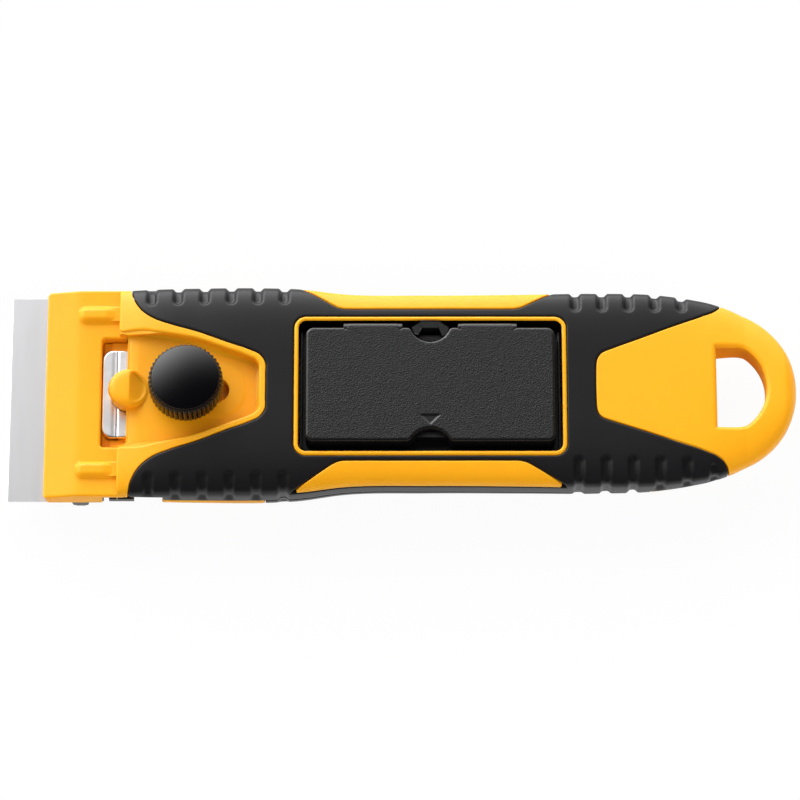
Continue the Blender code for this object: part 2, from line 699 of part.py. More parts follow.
def head_block():
    """The flat head: sloped in front, with its corners taken off in plan."""
    front_top = HEAD_BOTTOM + HEAD_FRONT_THICKNESS
    root = FORK_TIP + HEAD_ROOT
    side_view = [(HEAD_FRONT, HEAD_BOTTOM), (root, HEAD_BOTTOM), (root, HEAD_TOP),
                 (HEAD_FRONT + HEAD_SLOPE_LENGTH, HEAD_TOP), (HEAD_FRONT, front_top)]
    half = HEAD_WIDTH / 2
    corner = HEAD_FRONT + HEAD_CORNER_LENGTH
    inner = half - HEAD_CORNER_DEPTH
    plan = [(HEAD_FRONT, -inner), (corner, -half), (root, -half), (root, half), (corner, half),
            (HEAD_FRONT, inner)]
    head = crossbar("head", side_view, HEAD_WIDTH)
    return settled("head", keep(head, slab("head_plan", plan, 0, ABOVE_ALL)))


def head_rib(side):
    middle = (FORK_TIP - HEAD_RIB_LENGTH / 2 + HEAD_RIB_WIDTH / 4, side * HEAD_RIB_SPACING / 2)
    size = (HEAD_RIB_LENGTH + HEAD_RIB_WIDTH / 2, HEAD_RIB_WIDTH)
    outline = rounded_rectangle(middle, size, HEAD_RIB_WIDTH / 3)
    return slab("head_rib", outline, HEAD_TOP - HEAD_RIB_HEIGHT, HEAD_TOP + HEAD_RIB_HEIGHT)


def thumb_nub():
    """A low round nub on the front edge of the nose plate."""
    shape = bmesh.new()
    bmesh.ops.create_uvsphere(shape, u_segments=NUB_SEGMENTS, v_segments=NUB_SEGMENTS // 2,
                              radius=NUB_RADIUS)
    centre = (NOSE_FRONT, 0, NUB_HEIGHT - NUB_RADIUS)
    bmesh.ops.translate(shape, vec=centre, verts=shape.verts)
    return cutter("thumb_nub", mesh_from(shape, "thumb_nub"))


def clamp_slot(name, radius, bottom, top):
    """A slot with round ends along the clamp bolt's travel."""
    middle = ((CLAMP_X + SLOT_END) / 2, 0)
    size = (SLOT_END - CLAMP_X + 2 * radius, 2 * radius)
    return slab(name, rounded_rectangle(middle, size, radius * 0.999, 8), bottom, top)


def hang_hole(name, clearance, bottom, top):
    """A half-round hole: straight towards the handle, an arc towards the tail."""
    straight = TAIL_END - HANG_SETBACK
    half = HANG_WIDTH / 2
    reach = math.asin(half / HANG_RADIUS)
    arc = [(straight + HANG_RADIUS * math.cos(a), HANG_RADIUS * math.sin(a))
           for a in np.linspace(-reach, reach, 17)]
    outline = [(straight, half), (straight, -half)] + arc
    return slab(name, grown(outline, clearance), bottom, top)


def make_upper_shell():
    shell = handle_loft("upper_shell_body", 0)
    join(shell, head_block())
    cut(shell, block("below", (RELIEF_FRONT, -BEYOND, -BEYOND),
                     (LOWER_SHELL_BACK + GAP, BEYOND, UPPER_BOTTOM)))
    cut(shell, upper_grip_skin("upper_grip_seat", -OVERRUN / 2, GRIP_THICKNESS + GAP, GAP))
    cut(shell, slab("recess", recess_outline(), RECESS_FLOOR, ABOVE_ALL))
    join(shell, head_rib(1), head_rib(-1))
    cut(shell, *side_relief("shell_relief", 0))
    length = NOSE_FRONT - WINDOW_FRONT
    window = rounded_rectangle((WINDOW_FRONT + length / 2, 0), (length, WINDOW_WIDTH), WINDOW_CORNER, 2)
    cut(shell, slab("window", window, -OVERRUN, ABOVE_ALL))
    join(shell, clamp_slot("pad", PAD_RADIUS, NOSE_BOTTOM, PAD_TOP), thumb_nub())
    half = WINDOW_WIDTH / 2
    cut(shell, block("channel", (WINDOW_FRONT + WINDOW_CORNER, -half, -OVERRUN),
                     (CHANNEL_BACK, half, NOSE_BOTTOM)))
    cut(shell, clamp_slot("slot", SLOT_HALF_WIDTH, -OVERRUN, ABOVE_ALL))
    opening = rounded_rectangle((CASE_X, 0), CASE_OPENING, CASE_CORNER)
    cut(shell, slab("case_pocket", opening, CASE_FLOOR, ABOVE_ALL))
    for x, y in screw_places():
        cut(shell, rod("pilot", SCREW_RADIUS + GAP, (x, y, -OVERRUN), (x, y, SCREW_TIP + GAP), 12))
    cut(shell, hang_hole("hang_hole", 0, -OVERRUN, ABOVE_ALL))
    piece(shell, "upper_shell", "yellow_plastic")


def lower_grip_outline():
    return [(LOWER_GRIP_FRONT + along * LOWER_GRIP_LENGTH, across * HALF_WIDTH)
            for along, across in LOWER_GRIP_SHARES]


def lower_grip_skin(name, outer_inset, inner_inset, clearance):
    skin = handle_loft(name, outer_inset)
    cut(skin, handle_loft(name + "_inside", inner_inset))
    top = LOWER_TOP if not clearance else PARTING_HEIGHT + OVERRUN
    outline = grown(lower_grip_outline(), clearance)
    keep(skin, slab(name + "_plan", outline, -BEYOND, top))
    return settled(name, skin)


def make_lower_grip():
    grip = lower_grip_skin("lower_grip_skin", 0, GRIP_THICKNESS, 0)
    cut(grip, block("rest_plane", (BLADE_EDGE, -BEYOND, -BEYOND), (TAIL_END, BEYOND, 0)))
    for x, y in screw_places():
        reach = SCREW_HEAD_RADIUS + 2 * GAP
        cut(grip, rod("grip_screw_hole", reach, (x, y, -OVERRUN), (x, y, LOWER_TOP), 20))
    piece(grip, "lower_grip", "black_rubber")


def shell_cavity():
    """The hollow of the lower shell: an inner loft between two cross walls."""
    hollow = handle_loft("cavity", GRIP_THICKNESS + GAP + SHELL_WALL)
    front = FORK_TIP + CAVITY_FRONT_SHARE * HANDLE_LENGTH
    back = LOWER_SHELL_FRONT + CAVITY_REAR_SHARE * LOWER_LENGTH
    return keep(hollow, block("cavity_room", (front, -BEYOND, -BEYOND), (back, BEYOND, ABOVE_ALL)))


def make_lower_shell():
    shell = handle_loft("lower_shell_body", 0)
    keep(shell, block("lower_room", (LOWER_SHELL_FRONT, -BEYOND, 0),
                      (LOWER_SHELL_BACK, BEYOND, LOWER_TOP)))
    cut(shell, lower_grip_skin("lower_grip_seat", -OVERRUN / 2, GRIP_THICKNESS + GAP, GAP))
    hollow = shell_cavity()
    for x, y in screw_places()[2:]:
        cut(hollow, rod("boss", SCREW_HEAD_RADIUS + GAP + BOSS_WALL, (x, y, -BEYOND), (x, y, ABOVE_ALL), 20))
    for share in SHELL_RIB_SHARES:
        x = FORK_TIP + share * HANDLE_LENGTH
        cut(hollow, block("rib", (x, -BEYOND, -BEYOND), (x + SHELL_RIB_THICKNESS, BEYOND, ABOVE_ALL)))
    cut(shell, settled("hollow", hollow))
    half = TONGUE_WIDTH / 2 + GAP
    cut(shell, block("tongue_channel", (FORK_TIP, -half, CHANNEL_FLOOR), (CHANNEL_BACK, half, ABOVE_ALL)))
    half = BOLT_HEAD_RADIUS + GAP
    cut(shell, block("bolt_channel", (FORK_TIP, -half, BOLT_CHANNEL_FLOOR),
                     (SLOT_END + half, half, ABOVE_ALL)))
    head = SCREW_HEAD_RADIUS + GAP
    for x, y in screw_places():
        seat = SCREW_BOTTOM + SCREW_HEAD_HEIGHT + GAP
        cut(shell, rod("counterbore", head, (x, y, -OVERRUN), (x, y, seat), 20))
        cut(shell, rod("screw_way", SCREW_RADIUS + GAP, (x, y, SCREW_BOTTOM), (x, y, ABOVE_ALL), 12))
    piece(shell, "lower_shell", "yellow_plastic")


def flat_blade(name):
    """A blade lying flat, its edge along Y at x = 0 and its middle level at z = 0."""
    half = BLADE_THICKNESS / 2
    outline = [(0, 0), (BLADE_BEVEL, -half), (BLADE_DEPTH, -half), (BLADE_DEPTH, half), (BLADE_BEVEL, half)]
    body = crossbar(name, outline, BLADE_WIDTH / 2)
    for side in (1, -1):
        x, y = BLADE_DEPTH - PEG_SETBACK, side * PEG_SPACING / 2
        cut(body, rod("blade_hole", PEG_RADIUS + GAP, (x, y, -OVERRUN), (x, y, OVERRUN), 16))
    return settled(name, body)


def make_blades():
    blade = flat_blade("blade_body")
    blade.location = (BLADE_EDGE, 0, BLADE_TOP - BLADE_THICKNESS / 2)
    piece(blade, "blade", "blade_steel")
    for number in range(SPARE_BLADES):
        spare = flat_blade("spare_body")
        level = TRAY_FLOOR + (number + 1) * GAP + (number + 0.5) * BLADE_THICKNESS
        spare.rotation_euler = (0, 0, math.radians(90))
        spare.location = (CASE_X, -BLADE_DEPTH / 2, level)
        piece(spare, f"spare_blade_{number + 1}", "blade_steel")


def make_backing_plate():
    """Plate under the blade: wide in front with notches, then a tongue that carries the bolt."""
    half = PLATE_WIDTH / 2
    front = HEAD_FRONT + GAP
    notch = RELIEF_FRONT
    shoulder = notch + PLATE_NOTCH_LENGTH + PLATE_EAR_LENGTH
    narrow = half - PLATE_NOTCH_DEPTH
    tongue = TONGUE_WIDTH / 2
    far = [(front, half), (notch, half), (notch, narrow), (notch + PLATE_NOTCH_LENGTH, narrow),
           (notch + PLATE_NOTCH_LENGTH, half), (shoulder, half), (shoulder, tongue),
           (SLIDER_BACK, tongue)]
    near = [(x, -y) for x, y in reversed(far)]
    plate = slab("plate", far + near, PLATE_BOTTOM, PLATE_TOP)
    start = HEAD_FRONT + PLATE_RIB_SETBACK
    end = start + PLATE_RIB_LENGTH
    low = PLATE_BOTTOM - PLATE_RIB_HEIGHT
    level = PLATE_BOTTOM + PLATE_THICKNESS / 2
    rib = [(start, level), (start, PLATE_BOTTOM - PLATE_RIB_SLOPE), (start + PLATE_RIB_SLOPE, low),
           (end - PLATE_RIB_SLOPE, low), (end, PLATE_BOTTOM - PLATE_RIB_SLOPE), (end, level)]
    join(plate, crossbar("plate_rib", rib, half - GAP))
    for side in (1, -1):
        x, y = BLADE_BACK - PEG_SETBACK, side * PEG_SPACING / 2
        join(plate, rod("peg", PEG_RADIUS, (x, y, level), (x, y, BLADE_TOP), 16))
    cut(plate, rod("plate_hole", BOLT_RADIUS + GAP, (CLAMP_X, 0, 0), (CLAMP_X, 0, ABOVE_ALL), 24))
    piece(plate, "backing_plate", "black_plastic")


def stop_bar_outline(growth):
    middle = (SLIDER_FRONT - BAR_SETBACK + BAR_WIDTH / 2, 0)
    radius = (BAR_WIDTH / 2 + growth) * 0.999
    return rounded_rectangle(middle, (BAR_WIDTH + 2 * growth, BAR_LENGTH + 2 * growth), radius, 8)


def make_blade_slider():
    """Block behind the blade: a stepped floor under the window, full height under the nose."""
    half = SLIDER_HALF_WIDTH
    bottom = PLATE_TOP + GAP
    nose = NOSE_FRONT + GAP
    step = SLIDER_FRONT + SLIDER_STEP_LENGTH
    side_view = [(SLIDER_FRONT, bottom), (SLIDER_BACK, bottom), (SLIDER_BACK, SLIDER_TOP),
                 (nose, SLIDER_TOP), (nose, SLIDER_FLOOR), (step, SLIDER_FLOOR),
                 (step, SLIDER_FLOOR - SLIDER_STEP), (SLIDER_FRONT, SLIDER_FLOOR - SLIDER_STEP)]
    slider = crossbar("slider", side_view, half)
    seat = SLIDER_TOP - BAR_THICKNESS - GAP
    cut(slider, slab("bar_seat", stop_bar_outline(GAP), seat, ABOVE_ALL))
    cut(slider, rod("slider_hole", BOLT_RADIUS + GAP, (CLAMP_X, 0, 0), (CLAMP_X, 0, ABOVE_ALL), 24))
    piece(slider, "blade_slider", "yellow_plastic")


def make_stop_bar():
    bar = slab("bar", stop_bar_outline(0), SLIDER_TOP - BAR_THICKNESS, SLIDER_TOP)
    middle = SLIDER_FRONT - BAR_SETBACK + BAR_WIDTH / 2
    half = BAR_GROOVE_WIDTH / 2
    cut(bar, block("bar_groove", (middle - half, -BAR_LENGTH, SLIDER_TOP - BAR_GROOVE_DEPTH),
                   (middle + half, BAR_LENGTH, ABOVE_ALL)))
    piece(bar, "blade_stop_bar", "zinc_steel")


def make_clamp_bolt():
    top_of_head = PLATE_BOTTOM - GAP
    profile = [(0, BOLT_TOP), (BOLT_RADIUS, BOLT_TOP), (BOLT_RADIUS, top_of_head),
               (BOLT_HEAD_RADIUS, top_of_head), (BOLT_HEAD_RADIUS, top_of_head - BOLT_HEAD_THICKNESS / 2),
               (BOLT_HEAD_RADIUS - BOLT_HEAD_THICKNESS / 2, top_of_head - BOLT_HEAD_THICKNESS),
               (0, top_of_head - BOLT_HEAD_THICKNESS)]
    piece(turned("bolt", profile, (CLAMP_X, 0, 0), 24), "clamp_bolt", "zinc_steel")


def make_washers():
    bore = BOLT_RADIUS + GAP
    top = WASHER_BOTTOM + WASHER_THICKNESS
    flat = [(bore, top), (WASHER_RADIUS, top), (WASHER_RADIUS, WASHER_BOTTOM), (bore, WASHER_BOTTOM)]
    piece(turned("flat_washer", flat, (CLAMP_X, 0, 0), 32), "knob_washer", "zinc_steel",
          (CLAMP_X, 0, 0))
    top = SPRING_BOTTOM + SPRING_THICKNESS
    split = [(bore, top), (SPRING_RADIUS, top), (SPRING_RADIUS, SPRING_BOTTOM), (bore, SPRING_BOTTOM)]
    ring = turned("split_ring", split, (CLAMP_X, 0, 0), 32)
    half = SPRING_SLIT / 2
    cut(ring, block("slit", (CLAMP_X - half, 0, 0), (CLAMP_X + half, BEYOND, ABOVE_ALL)))
    piece(ring, "spring_washer", "zinc_steel", (CLAMP_X, 0, 0))


def knurl_outline():
    """A ring of teeth with flat tips and narrow roots."""
    outline = []
    pitch = 2 * math.pi / KNOB_TEETH
    for tooth in range(KNOB_TEETH):
        for share, depth in KNOB_TOOTH_SHARES:
            angle = (tooth + share) * pitch
            radius = KNOB_RADIUS - depth * KNOB_TOOTH_DEPTH
            outline.append((CLAMP_X + radius * math.cos(angle), radius * math.sin(angle)))
    return outline


def make_knob():
    """Knurled skirt with a collar below, a washer counterbore, a nut pocket and a cap seat."""
    knob = slab("knob_skirt", knurl_outline(), KNOB_BASE, KNOB_TOP)
    centre = (CLAMP_X, 0, 0)
    hole = BOLT_RADIUS + GAP
    cut(knob, rod("knob_bore", hole, (CLAMP_X, 0, 0), (CLAMP_X, 0, ABOVE_ALL), 24))
    cut(knob, rod("counterbore", SPRING_RADIUS + GAP, (CLAMP_X, 0, 0), (CLAMP_X, 0, COUNTERBORE_TOP), 32))
    cut(knob, slab("nut_pocket", hexagon(INSERT_ACROSS_FLATS / 2 + GAP), INSERT_BOTTOM - GAP, ABOVE_ALL))
    cut(knob, rod("cap_seat", CAP_RADIUS + GAP, (CLAMP_X, 0, KNOB_TOP - CAP_SEAT),
                  (CLAMP_X, 0, ABOVE_ALL), SCREW_STEPS))
    piece(knob, "knob", "black_plastic", centre)


def hexagon(half_flats):
    return circle((CLAMP_X, 0), half_flats / math.cos(math.radians(30)), 6)


def make_knob_insert():
    hole = circle((CLAMP_X, 0), BOLT_RADIUS + GAP)
    nut = slab("nut", hexagon(INSERT_ACROSS_FLATS / 2), INSERT_BOTTOM, INSERT_TOP, (hole,))
    piece(nut, "knob_insert", "zinc_steel", (CLAMP_X, 0, 0))


def make_knob_cap():
    """Shallow dome with a rim that stands in the knob's seat."""
    seat = KNOB_TOP - CAP_SEAT + GAP
    rim = KNOB_TOP + CAP_RIM
    angles = np.linspace(math.radians(90), 0, CAP_POINTS)
    dome = [(CAP_RADIUS * math.cos(a), rim + CAP_DOME * math.sin(a)) for a in angles]
    dome[0] = (0, dome[0][1])
    profile = dome + [(CAP_RADIUS, seat), (0, seat)]
    piece(turned("cap", profile, (CLAMP_X, 0, 0)), "knob_cap", "gloss_black", (CLAMP_X, 0, 0))


def make_case_tray():
    """Base plate that fills the case opening, blade walls on it, and the hinge post."""
    base_size = tuple(side - 2 * GAP for side in CASE_OPENING)
    centre = (CASE_X, 0)
    base = rounded_rectangle(centre, base_size, CASE_CORNER - GAP)
    tray = slab("tray_base", base, TRAY_BOTTOM, TRAY_FLOOR)
    outer = rounded_rectangle(centre, TRAY_OUTER, CASE_WALL)
    inner = rounded_rectangle(centre, TRAY_INNER, CASE_WALL / 2, 2)
    join(tray, slab("tray_wall", outer, TRAY_BOTTOM + CASE_WALL / 2, TRAY_TOP))
    cut(tray, slab("tray_inside", inner, TRAY_FLOOR, ABOVE_ALL))
    near = HINGE_Y - POST_DEPTH / 2
    far = HINGE_Y + POST_DEPTH / 2
    plan = [(CASE_X - POST_WIDTH / 2, near), (CASE_X + POST_WIDTH / 2, near),
            (CASE_X + POST_WIDTH / 2, HINGE_Y), (CASE_X + POST_TIP_WIDTH / 2, far),
            (CASE_X - POST_TIP_WIDTH / 2, far), (CASE_X - POST_WIDTH / 2, HINGE_Y)]
    join(tray, slab("hinge_post", plan, TRAY_BOTTOM + CASE_WALL / 2, HINGE_Z + POST_RISE))
    reach = PIN_RADIUS + GAP
    for side in (1, -1):
        start, end = CASE_X + side * POST_WEB / 2, CASE_X + side * POST_WIDTH
        cut(tray, rod("pin_seat", reach, (start, HINGE_Y, HINGE_Z), (end, HINGE_Y, HINGE_Z), 16))
        low, high = min(start, end), max(start, end)
        cut(tray, block("pin_way", (low, HINGE_Y - reach, HINGE_Z), (high, HINGE_Y + reach, ABOVE_ALL)))
    piece(tray, "case_tray", "black_plastic")


def make_case_lid():
    """Cap over the tray: a top plate, a skirt on three sides, two knuckles and their pins."""
    centre = (CASE_X, 0)
    lid = slab("lid_body", rounded_rectangle(centre, LID_OUTER, LID_CORNER), LID_BOTTOM, LID_TOP)
    half_x, half_y = LID_INNER[0] / 2, LID_INNER[1] / 2
    cut(lid, block("lid_inside", (CASE_X - half_x, -half_y, 0), (CASE_X + half_x, BEYOND, LID_UNDERSIDE)))
    notch_y = HINGE_Y + KNUCKLE_RADIUS
    cut(lid, rod("post_notch", LID_NOTCH_RADIUS, (CASE_X, notch_y, 0), (CASE_X, notch_y, ABOVE_ALL)))
    finger_y = -LID_OUTER[1] / 2 - FINGER_NOTCH_RADIUS + FINGER_NOTCH_DEPTH
    finger_bottom = LID_TOP - LID_TOP_THICKNESS / 2
    cut(lid, rod("finger_notch", FINGER_NOTCH_RADIUS, (CASE_X, finger_y, finger_bottom),
                 (CASE_X, finger_y, ABOVE_ALL)))
    for side in (1, -1):
        inner = CASE_X + side * KNUCKLE_INNER
        outer = inner + side * KNUCKLE_LENGTH
        join(lid, rod("knuckle", KNUCKLE_RADIUS, (inner, HINGE_Y, HINGE_Z), (outer, HINGE_Y, HINGE_Z), 20))
        tip = CASE_X + side * (POST_WEB / 2 + GAP)
        root = inner + side * CASE_WALL
        join(lid, rod("lid_pin", PIN_RADIUS, (tip, HINGE_Y, HINGE_Z), (root, HINGE_Y, HINGE_Z), 12))
    piece(lid, "case_lid", "black_plastic", (CASE_X, HINGE_Y, HINGE_Z))


def make_screws():
    """Pan-head screws driven up through the lower shell, each with a hexagonal socket."""
    shoulder = SCREW_BOTTOM + SCREW_HEAD_HEIGHT
    taper = SCREW_RADIUS / 2
    profile = [(0, SCREW_TIP), (SCREW_RADIUS - taper, SCREW_TIP), (SCREW_RADIUS, SCREW_TIP - taper),
               (SCREW_RADIUS, shoulder), (SCREW_HEAD_RADIUS, shoulder),
               (SCREW_HEAD_RADIUS, SCREW_BOTTOM + taper / 2), (SCREW_HEAD_RADIUS - taper / 2, SCREW_BOTTOM),
               (SCREW_SOCKET_RADIUS, SCREW_BOTTOM), (SCREW_SOCKET_RADIUS, SCREW_BOTTOM + SCREW_SOCKET_DEPTH),
               (0, SCREW_BOTTOM + SCREW_SOCKET_DEPTH)]
    for number, (x, y) in enumerate(screw_places()):
        piece(turned("screw", profile, (x, y, 0), 18), f"shell_screw_{number + 1}", "zinc_steel")


make_upper_shell()
make_lower_shell()
make_upper_grip()
make_lower_grip()
make_blades()
make_backing_plate()
make_blade_slider()
make_stop_bar()
make_clamp_bolt()
make_washers()
make_knob()
make_knob_insert()
make_knob_cap()
make_case_tray()
make_case_lid()
make_screws()
for helper in list(CUTTERS.objects):
    bpy.data.objects.remove(helper)
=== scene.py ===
"""Glass scraper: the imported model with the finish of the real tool.

Lengths are in metres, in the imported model's frame. +X runs from the blade's edge to the tail,
+Y to the hinge side of the case, +Z out of the clamp knob, and the tool lies on its back.
"""
import math

import bmesh
import bpy
import numpy as np
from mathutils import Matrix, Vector


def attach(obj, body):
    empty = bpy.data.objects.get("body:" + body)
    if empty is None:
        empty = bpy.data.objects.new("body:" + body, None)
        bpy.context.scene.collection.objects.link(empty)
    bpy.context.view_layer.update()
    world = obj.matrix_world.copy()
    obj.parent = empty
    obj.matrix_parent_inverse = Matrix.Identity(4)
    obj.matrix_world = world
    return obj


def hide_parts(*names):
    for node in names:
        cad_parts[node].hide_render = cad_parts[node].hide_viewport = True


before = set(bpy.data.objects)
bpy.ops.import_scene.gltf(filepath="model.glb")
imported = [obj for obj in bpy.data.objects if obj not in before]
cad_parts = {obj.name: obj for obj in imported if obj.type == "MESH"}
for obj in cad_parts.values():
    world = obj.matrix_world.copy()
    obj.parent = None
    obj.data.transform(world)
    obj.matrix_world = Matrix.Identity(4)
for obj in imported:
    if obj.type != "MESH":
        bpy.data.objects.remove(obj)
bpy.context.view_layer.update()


# Soft upper grip
# The black grip over the top and shoulders of the handle. It is a soft thermoplastic rubber,
# moulded over the yellow shell, with finger grooves across both shoulders.

FORK_TIP = -0.05265
HANDLE_LENGTH = 0.1255
HALF_WIDTH = 0.02045
HANDLE_HEIGHT = 0.0130
TAIL_RADIUS = 0.0161
TAIL_END = FORK_TIP + HANDLE_LENGTH
TAIL_CENTRE = TAIL_END - TAIL_RADIUS
TAIL_EDGE = 0.0025
BLEND_ANGLE = math.radians(66)
BLEND_X = TAIL_CENTRE + TAIL_RADIUS * math.cos(BLEND_ANGLE)
SHOULDER_POWER = 4.5
UNDERSIDE_POWER = 3.0
# Half width, height above the widest level and depth below it of a typical section
TYPICAL_SECTION = (0.0200, 0.0055, 0.0074)
# Along the handle, half width, top, widest level, bottom, and how square the shoulders are
SECTIONS = np.array((
    (0.000, 0.988, 0.838, 0.560, 0.110, 4.5), (0.040, 0.993, 0.925, 0.560, 0.080, 4.5),
    (0.123, 1.000, 0.985, 0.565, 0.020, 4.5), (0.225, 0.998, 1.005, 0.575, -0.025, 4.5),
    (0.262, 0.988, 1.008, 0.592, -0.027, 4.5), (0.335, 0.930, 1.012, 0.630, -0.027, 4.5),
    (0.457, 0.917, 1.015, 0.650, -0.027, 4.5), (0.600, 0.922, 1.013, 0.672, -0.020, 4.5),
    (0.700, 0.930, 1.008, 0.688, 0.030, 4.5), (0.800, 0.914, 0.997, 0.700, 0.170, 4.2),
    (0.844, 0.878, 0.985, 0.706, 0.290, 3.9), (0.879, 0.833, 0.973, 0.708, 0.385, 3.6),
    (0.902, 0.783, 0.962, 0.708, 0.440, 3.3), (0.924, 0.719, 0.950, 0.708, 0.475, 3.0)))
PARTING = 0.0068
SEAM = 0.00006
# Step of the slope probes, the share of a cell by which a face's middle may lie outside its
# border, and how far a skin's wall goes in under its edge
PROBE = 4e-6
OUTSIDE_SHARE = 0.05
SKIN_WALL = 0.0009
GRIP_EDGE = 0.00030
GRIP_CELL = 0.00026
GRIP_ENDS = (0.0005, 0.0615)
GRIP_REACH = 0.0042
NOSE_LENGTH = 0.0273
NOSE_SHARES = ((0.060, 1.20), (0.075, 1.05), (0.098, 0.88), (0.158, 0.748), (0.240, 0.665),
               (0.358, 0.601), (0.531, 0.528), (0.745, 0.418), (0.900, 0.342), (0.962, 0.300),
               (1.000, 0.225), (1.003, 0.110))
TAIL_FAR = ((0.03575, 0.0030), (0.03580, 0.0042), (0.03605, 0.0053), (0.03655, 0.0061),
            (0.03725, 0.00663), (0.0382, 0.00702), (0.0437, 0.00916), (0.0498, 0.01162),
            (0.0559, 0.01405), (0.0578, 0.01495), (0.0589, 0.0160), (0.0595, 0.0178),
            (0.0597, 0.0210), (0.0598, 0.0245))
TAIL_NEAR = ((0.03575, 0.0030), (0.03580, 0.0042), (0.03605, 0.0053), (0.03660, 0.0061),
             (0.03740, 0.00652), (0.0384, 0.00686), (0.0437, 0.00858), (0.0498, 0.01060),
             (0.0559, 0.01262), (0.0579, 0.01347), (0.0591, 0.01445), (0.0598, 0.0157),
             (0.0602, 0.0185), (0.0603, 0.0245))
PLAN_ENDS = (-0.075, 0.080)
CASE_X = 0.00515
LIP_OUTSIDE = (0.0503, 0.0272)
LIP_CORNER = 0.00225
INSERT_HALF_LENGTH = 0.0244
INSERT_FAR = (((0.350, 0.746), (0.600, 0.746), (0.645, 0.747), (0.690, 0.757), (0.735, 0.785),
               (0.790, 0.828), (0.900, 0.918), (1.000, 1.000), (1.100, 1.082)),
              ((0.350, 0.746), (0.600, 0.746), (0.635, 0.747), (0.680, 0.757), (0.725, 0.782),
               (0.800, 0.832), (0.900, 0.904), (1.000, 0.976), (1.100, 1.048)))
INSERT_NEAR = (((0.350, 0.713), (0.600, 0.713), (0.655, 0.714), (0.700, 0.725), (0.745, 0.752),
                (0.800, 0.795), (0.900, 0.876), (1.000, 0.957), (1.100, 1.040), (1.200, 1.123)),
               ((0.350, 0.713), (0.600, 0.713), (0.665, 0.714), (0.710, 0.723), (0.755, 0.747),
                (0.800, 0.778), (0.900, 0.850), (1.000, 0.924), (1.100, 0.998), (1.200, 1.072)))
INSERT_BOTTOM = 0.0100
RELIEF_TOP = 0.0082
RELIEF_END = -0.0442
# Side, place of the first groove, pitch, count and inner end of each row of finger grooves
GROOVE_ROWS = ((1, -0.0466, 0.00494, 6, 0.0172), (-1, -0.0467, 0.00496, 6, 0.0175),
               (1, 0.0321, 0.00492, 5, 0.0156), (-1, 0.0324, 0.00498, 5, 0.0147),
               (-1, 0.0573, 0.00500, 1, 0.0156))
GROOVE_HALF_WIDTH = 0.00115
GROOVE_DEPTH = 0.00062
GROOVE_SIDE = 0.70
GROOVE_END = 0.0020
# Place along the handle and the level there at which the grooves have faded out
GROOVE_STOPS = ((-0.0440, 0.0084), (-0.0436, 0.0070), (-0.0252, 0.0070), (-0.0246, 0.0036),
                (0.0445, 0.0036), (0.0455, 0.0074))


def smooth_through(at, knots, values):
    """Cubic curve through the knots whose slope at each is taken from its neighbours."""
    slopes = np.gradient(values, knots)
    index = np.clip(np.searchsorted(knots, at) - 1, 0, len(knots) - 2)
    span = knots[index + 1] - knots[index]
    t = (at - knots[index]) / span
    return ((1 + 2 * t) * (1 - t) ** 2 * values[index] + t * (1 - t) ** 2 * span * slopes[index]
            + t * t * (3 - 2 * t) * values[index + 1] - t * t * (1 - t) * span * slopes[index + 1])


def handle_row(x):
    """Half width, top, widest level, bottom and shoulder power of the handle at each x.

    Ahead of the tail they follow smooth curves through the section table. The tail is a circle
    in plan, and its top and bottom draw together over its last millimetres as a quarter circle.
    """
    knots = FORK_TIP + SECTIONS[:, 0] * HANDLE_LENGTH
    knots[-1] = BLEND_X
    widths = SECTIONS[:, 1] * HALF_WIDTH
    widths[-1] = TAIL_RADIUS * math.sin(BLEND_ANGLE)
    ahead = np.clip(x, FORK_TIP, BLEND_X)
    half, power = smooth_through(ahead, knots, widths), smooth_through(ahead, knots, SECTIONS[:, 5])
    top, widest, bottom = (smooth_through(ahead, knots, SECTIONS[:, k] * HANDLE_HEIGHT)
                           for k in (2, 3, 4))
    depth = np.clip(TAIL_END - x, 0, None)
    past = x > BLEND_X
    close = np.where(past, np.sqrt(1 - np.clip(1 - depth / TAIL_EDGE, 0, 1) ** 2), 1.0)
    half = np.where(past, np.sqrt(np.clip(2 * TAIL_RADIUS * depth - depth ** 2, 0, None)), half)
    return half, widest + (top - widest) * close, widest, widest - (widest - bottom) * close, power


def unit_section(angle, power):
    """Across, up and distance out on a section whose upper half has the given power."""
    side, rise = np.cos(angle), np.sin(angle)
    power = np.where(rise > 0, power, UNDERSIDE_POWER)
    return side, rise, (np.abs(side) ** power + np.abs(rise) ** power) ** (-1 / power)


def round_table():
    """Angles round a typical section against the length of its rim from the middle of the top."""
    angle = np.linspace(-math.pi / 2, 3 * math.pi / 2, 4001)
    side, rise, size = unit_section(angle, SHOULDER_POWER)
    width, above, below = TYPICAL_SECTION
    y, z = width * side * size, np.where(rise > 0, above, below) * rise * size
    length = np.concatenate(((0,), np.cumsum(np.hypot(np.diff(y), np.diff(z)))))
    return length - np.interp(math.pi / 2, angle, length), angle


RIM_LENGTH, RIM_ANGLE = round_table()
RIM_SIDE = -float(np.interp(0, RIM_ANGLE, RIM_LENGTH))
RIM_END = float(RIM_LENGTH[-1])


def handle_point(u, v):
    """Point on the handle's outer form: u along it, v round it from the middle of the top.

    Each section is a half superellipse above its widest level and another below it, and the
    underside is cut flat at zero, where the tool rests. Past the blend u runs round the tail.
    """
    turn = np.clip(BLEND_ANGLE - np.clip(u - BLEND_X, 0, None) / TAIL_RADIUS, 0, None)
    x = np.where(u > BLEND_X, TAIL_CENTRE + TAIL_RADIUS * np.cos(turn), u)
    half, top, widest, bottom, power = handle_row(x)
    side, rise, size = unit_section(np.interp(-v, RIM_LENGTH, RIM_ANGLE), power)
    reach = np.where(rise > 0, top - widest, widest - bottom)
    return np.stack((x, half * side * size, np.maximum(widest + reach * rise * size, 0)), -1)


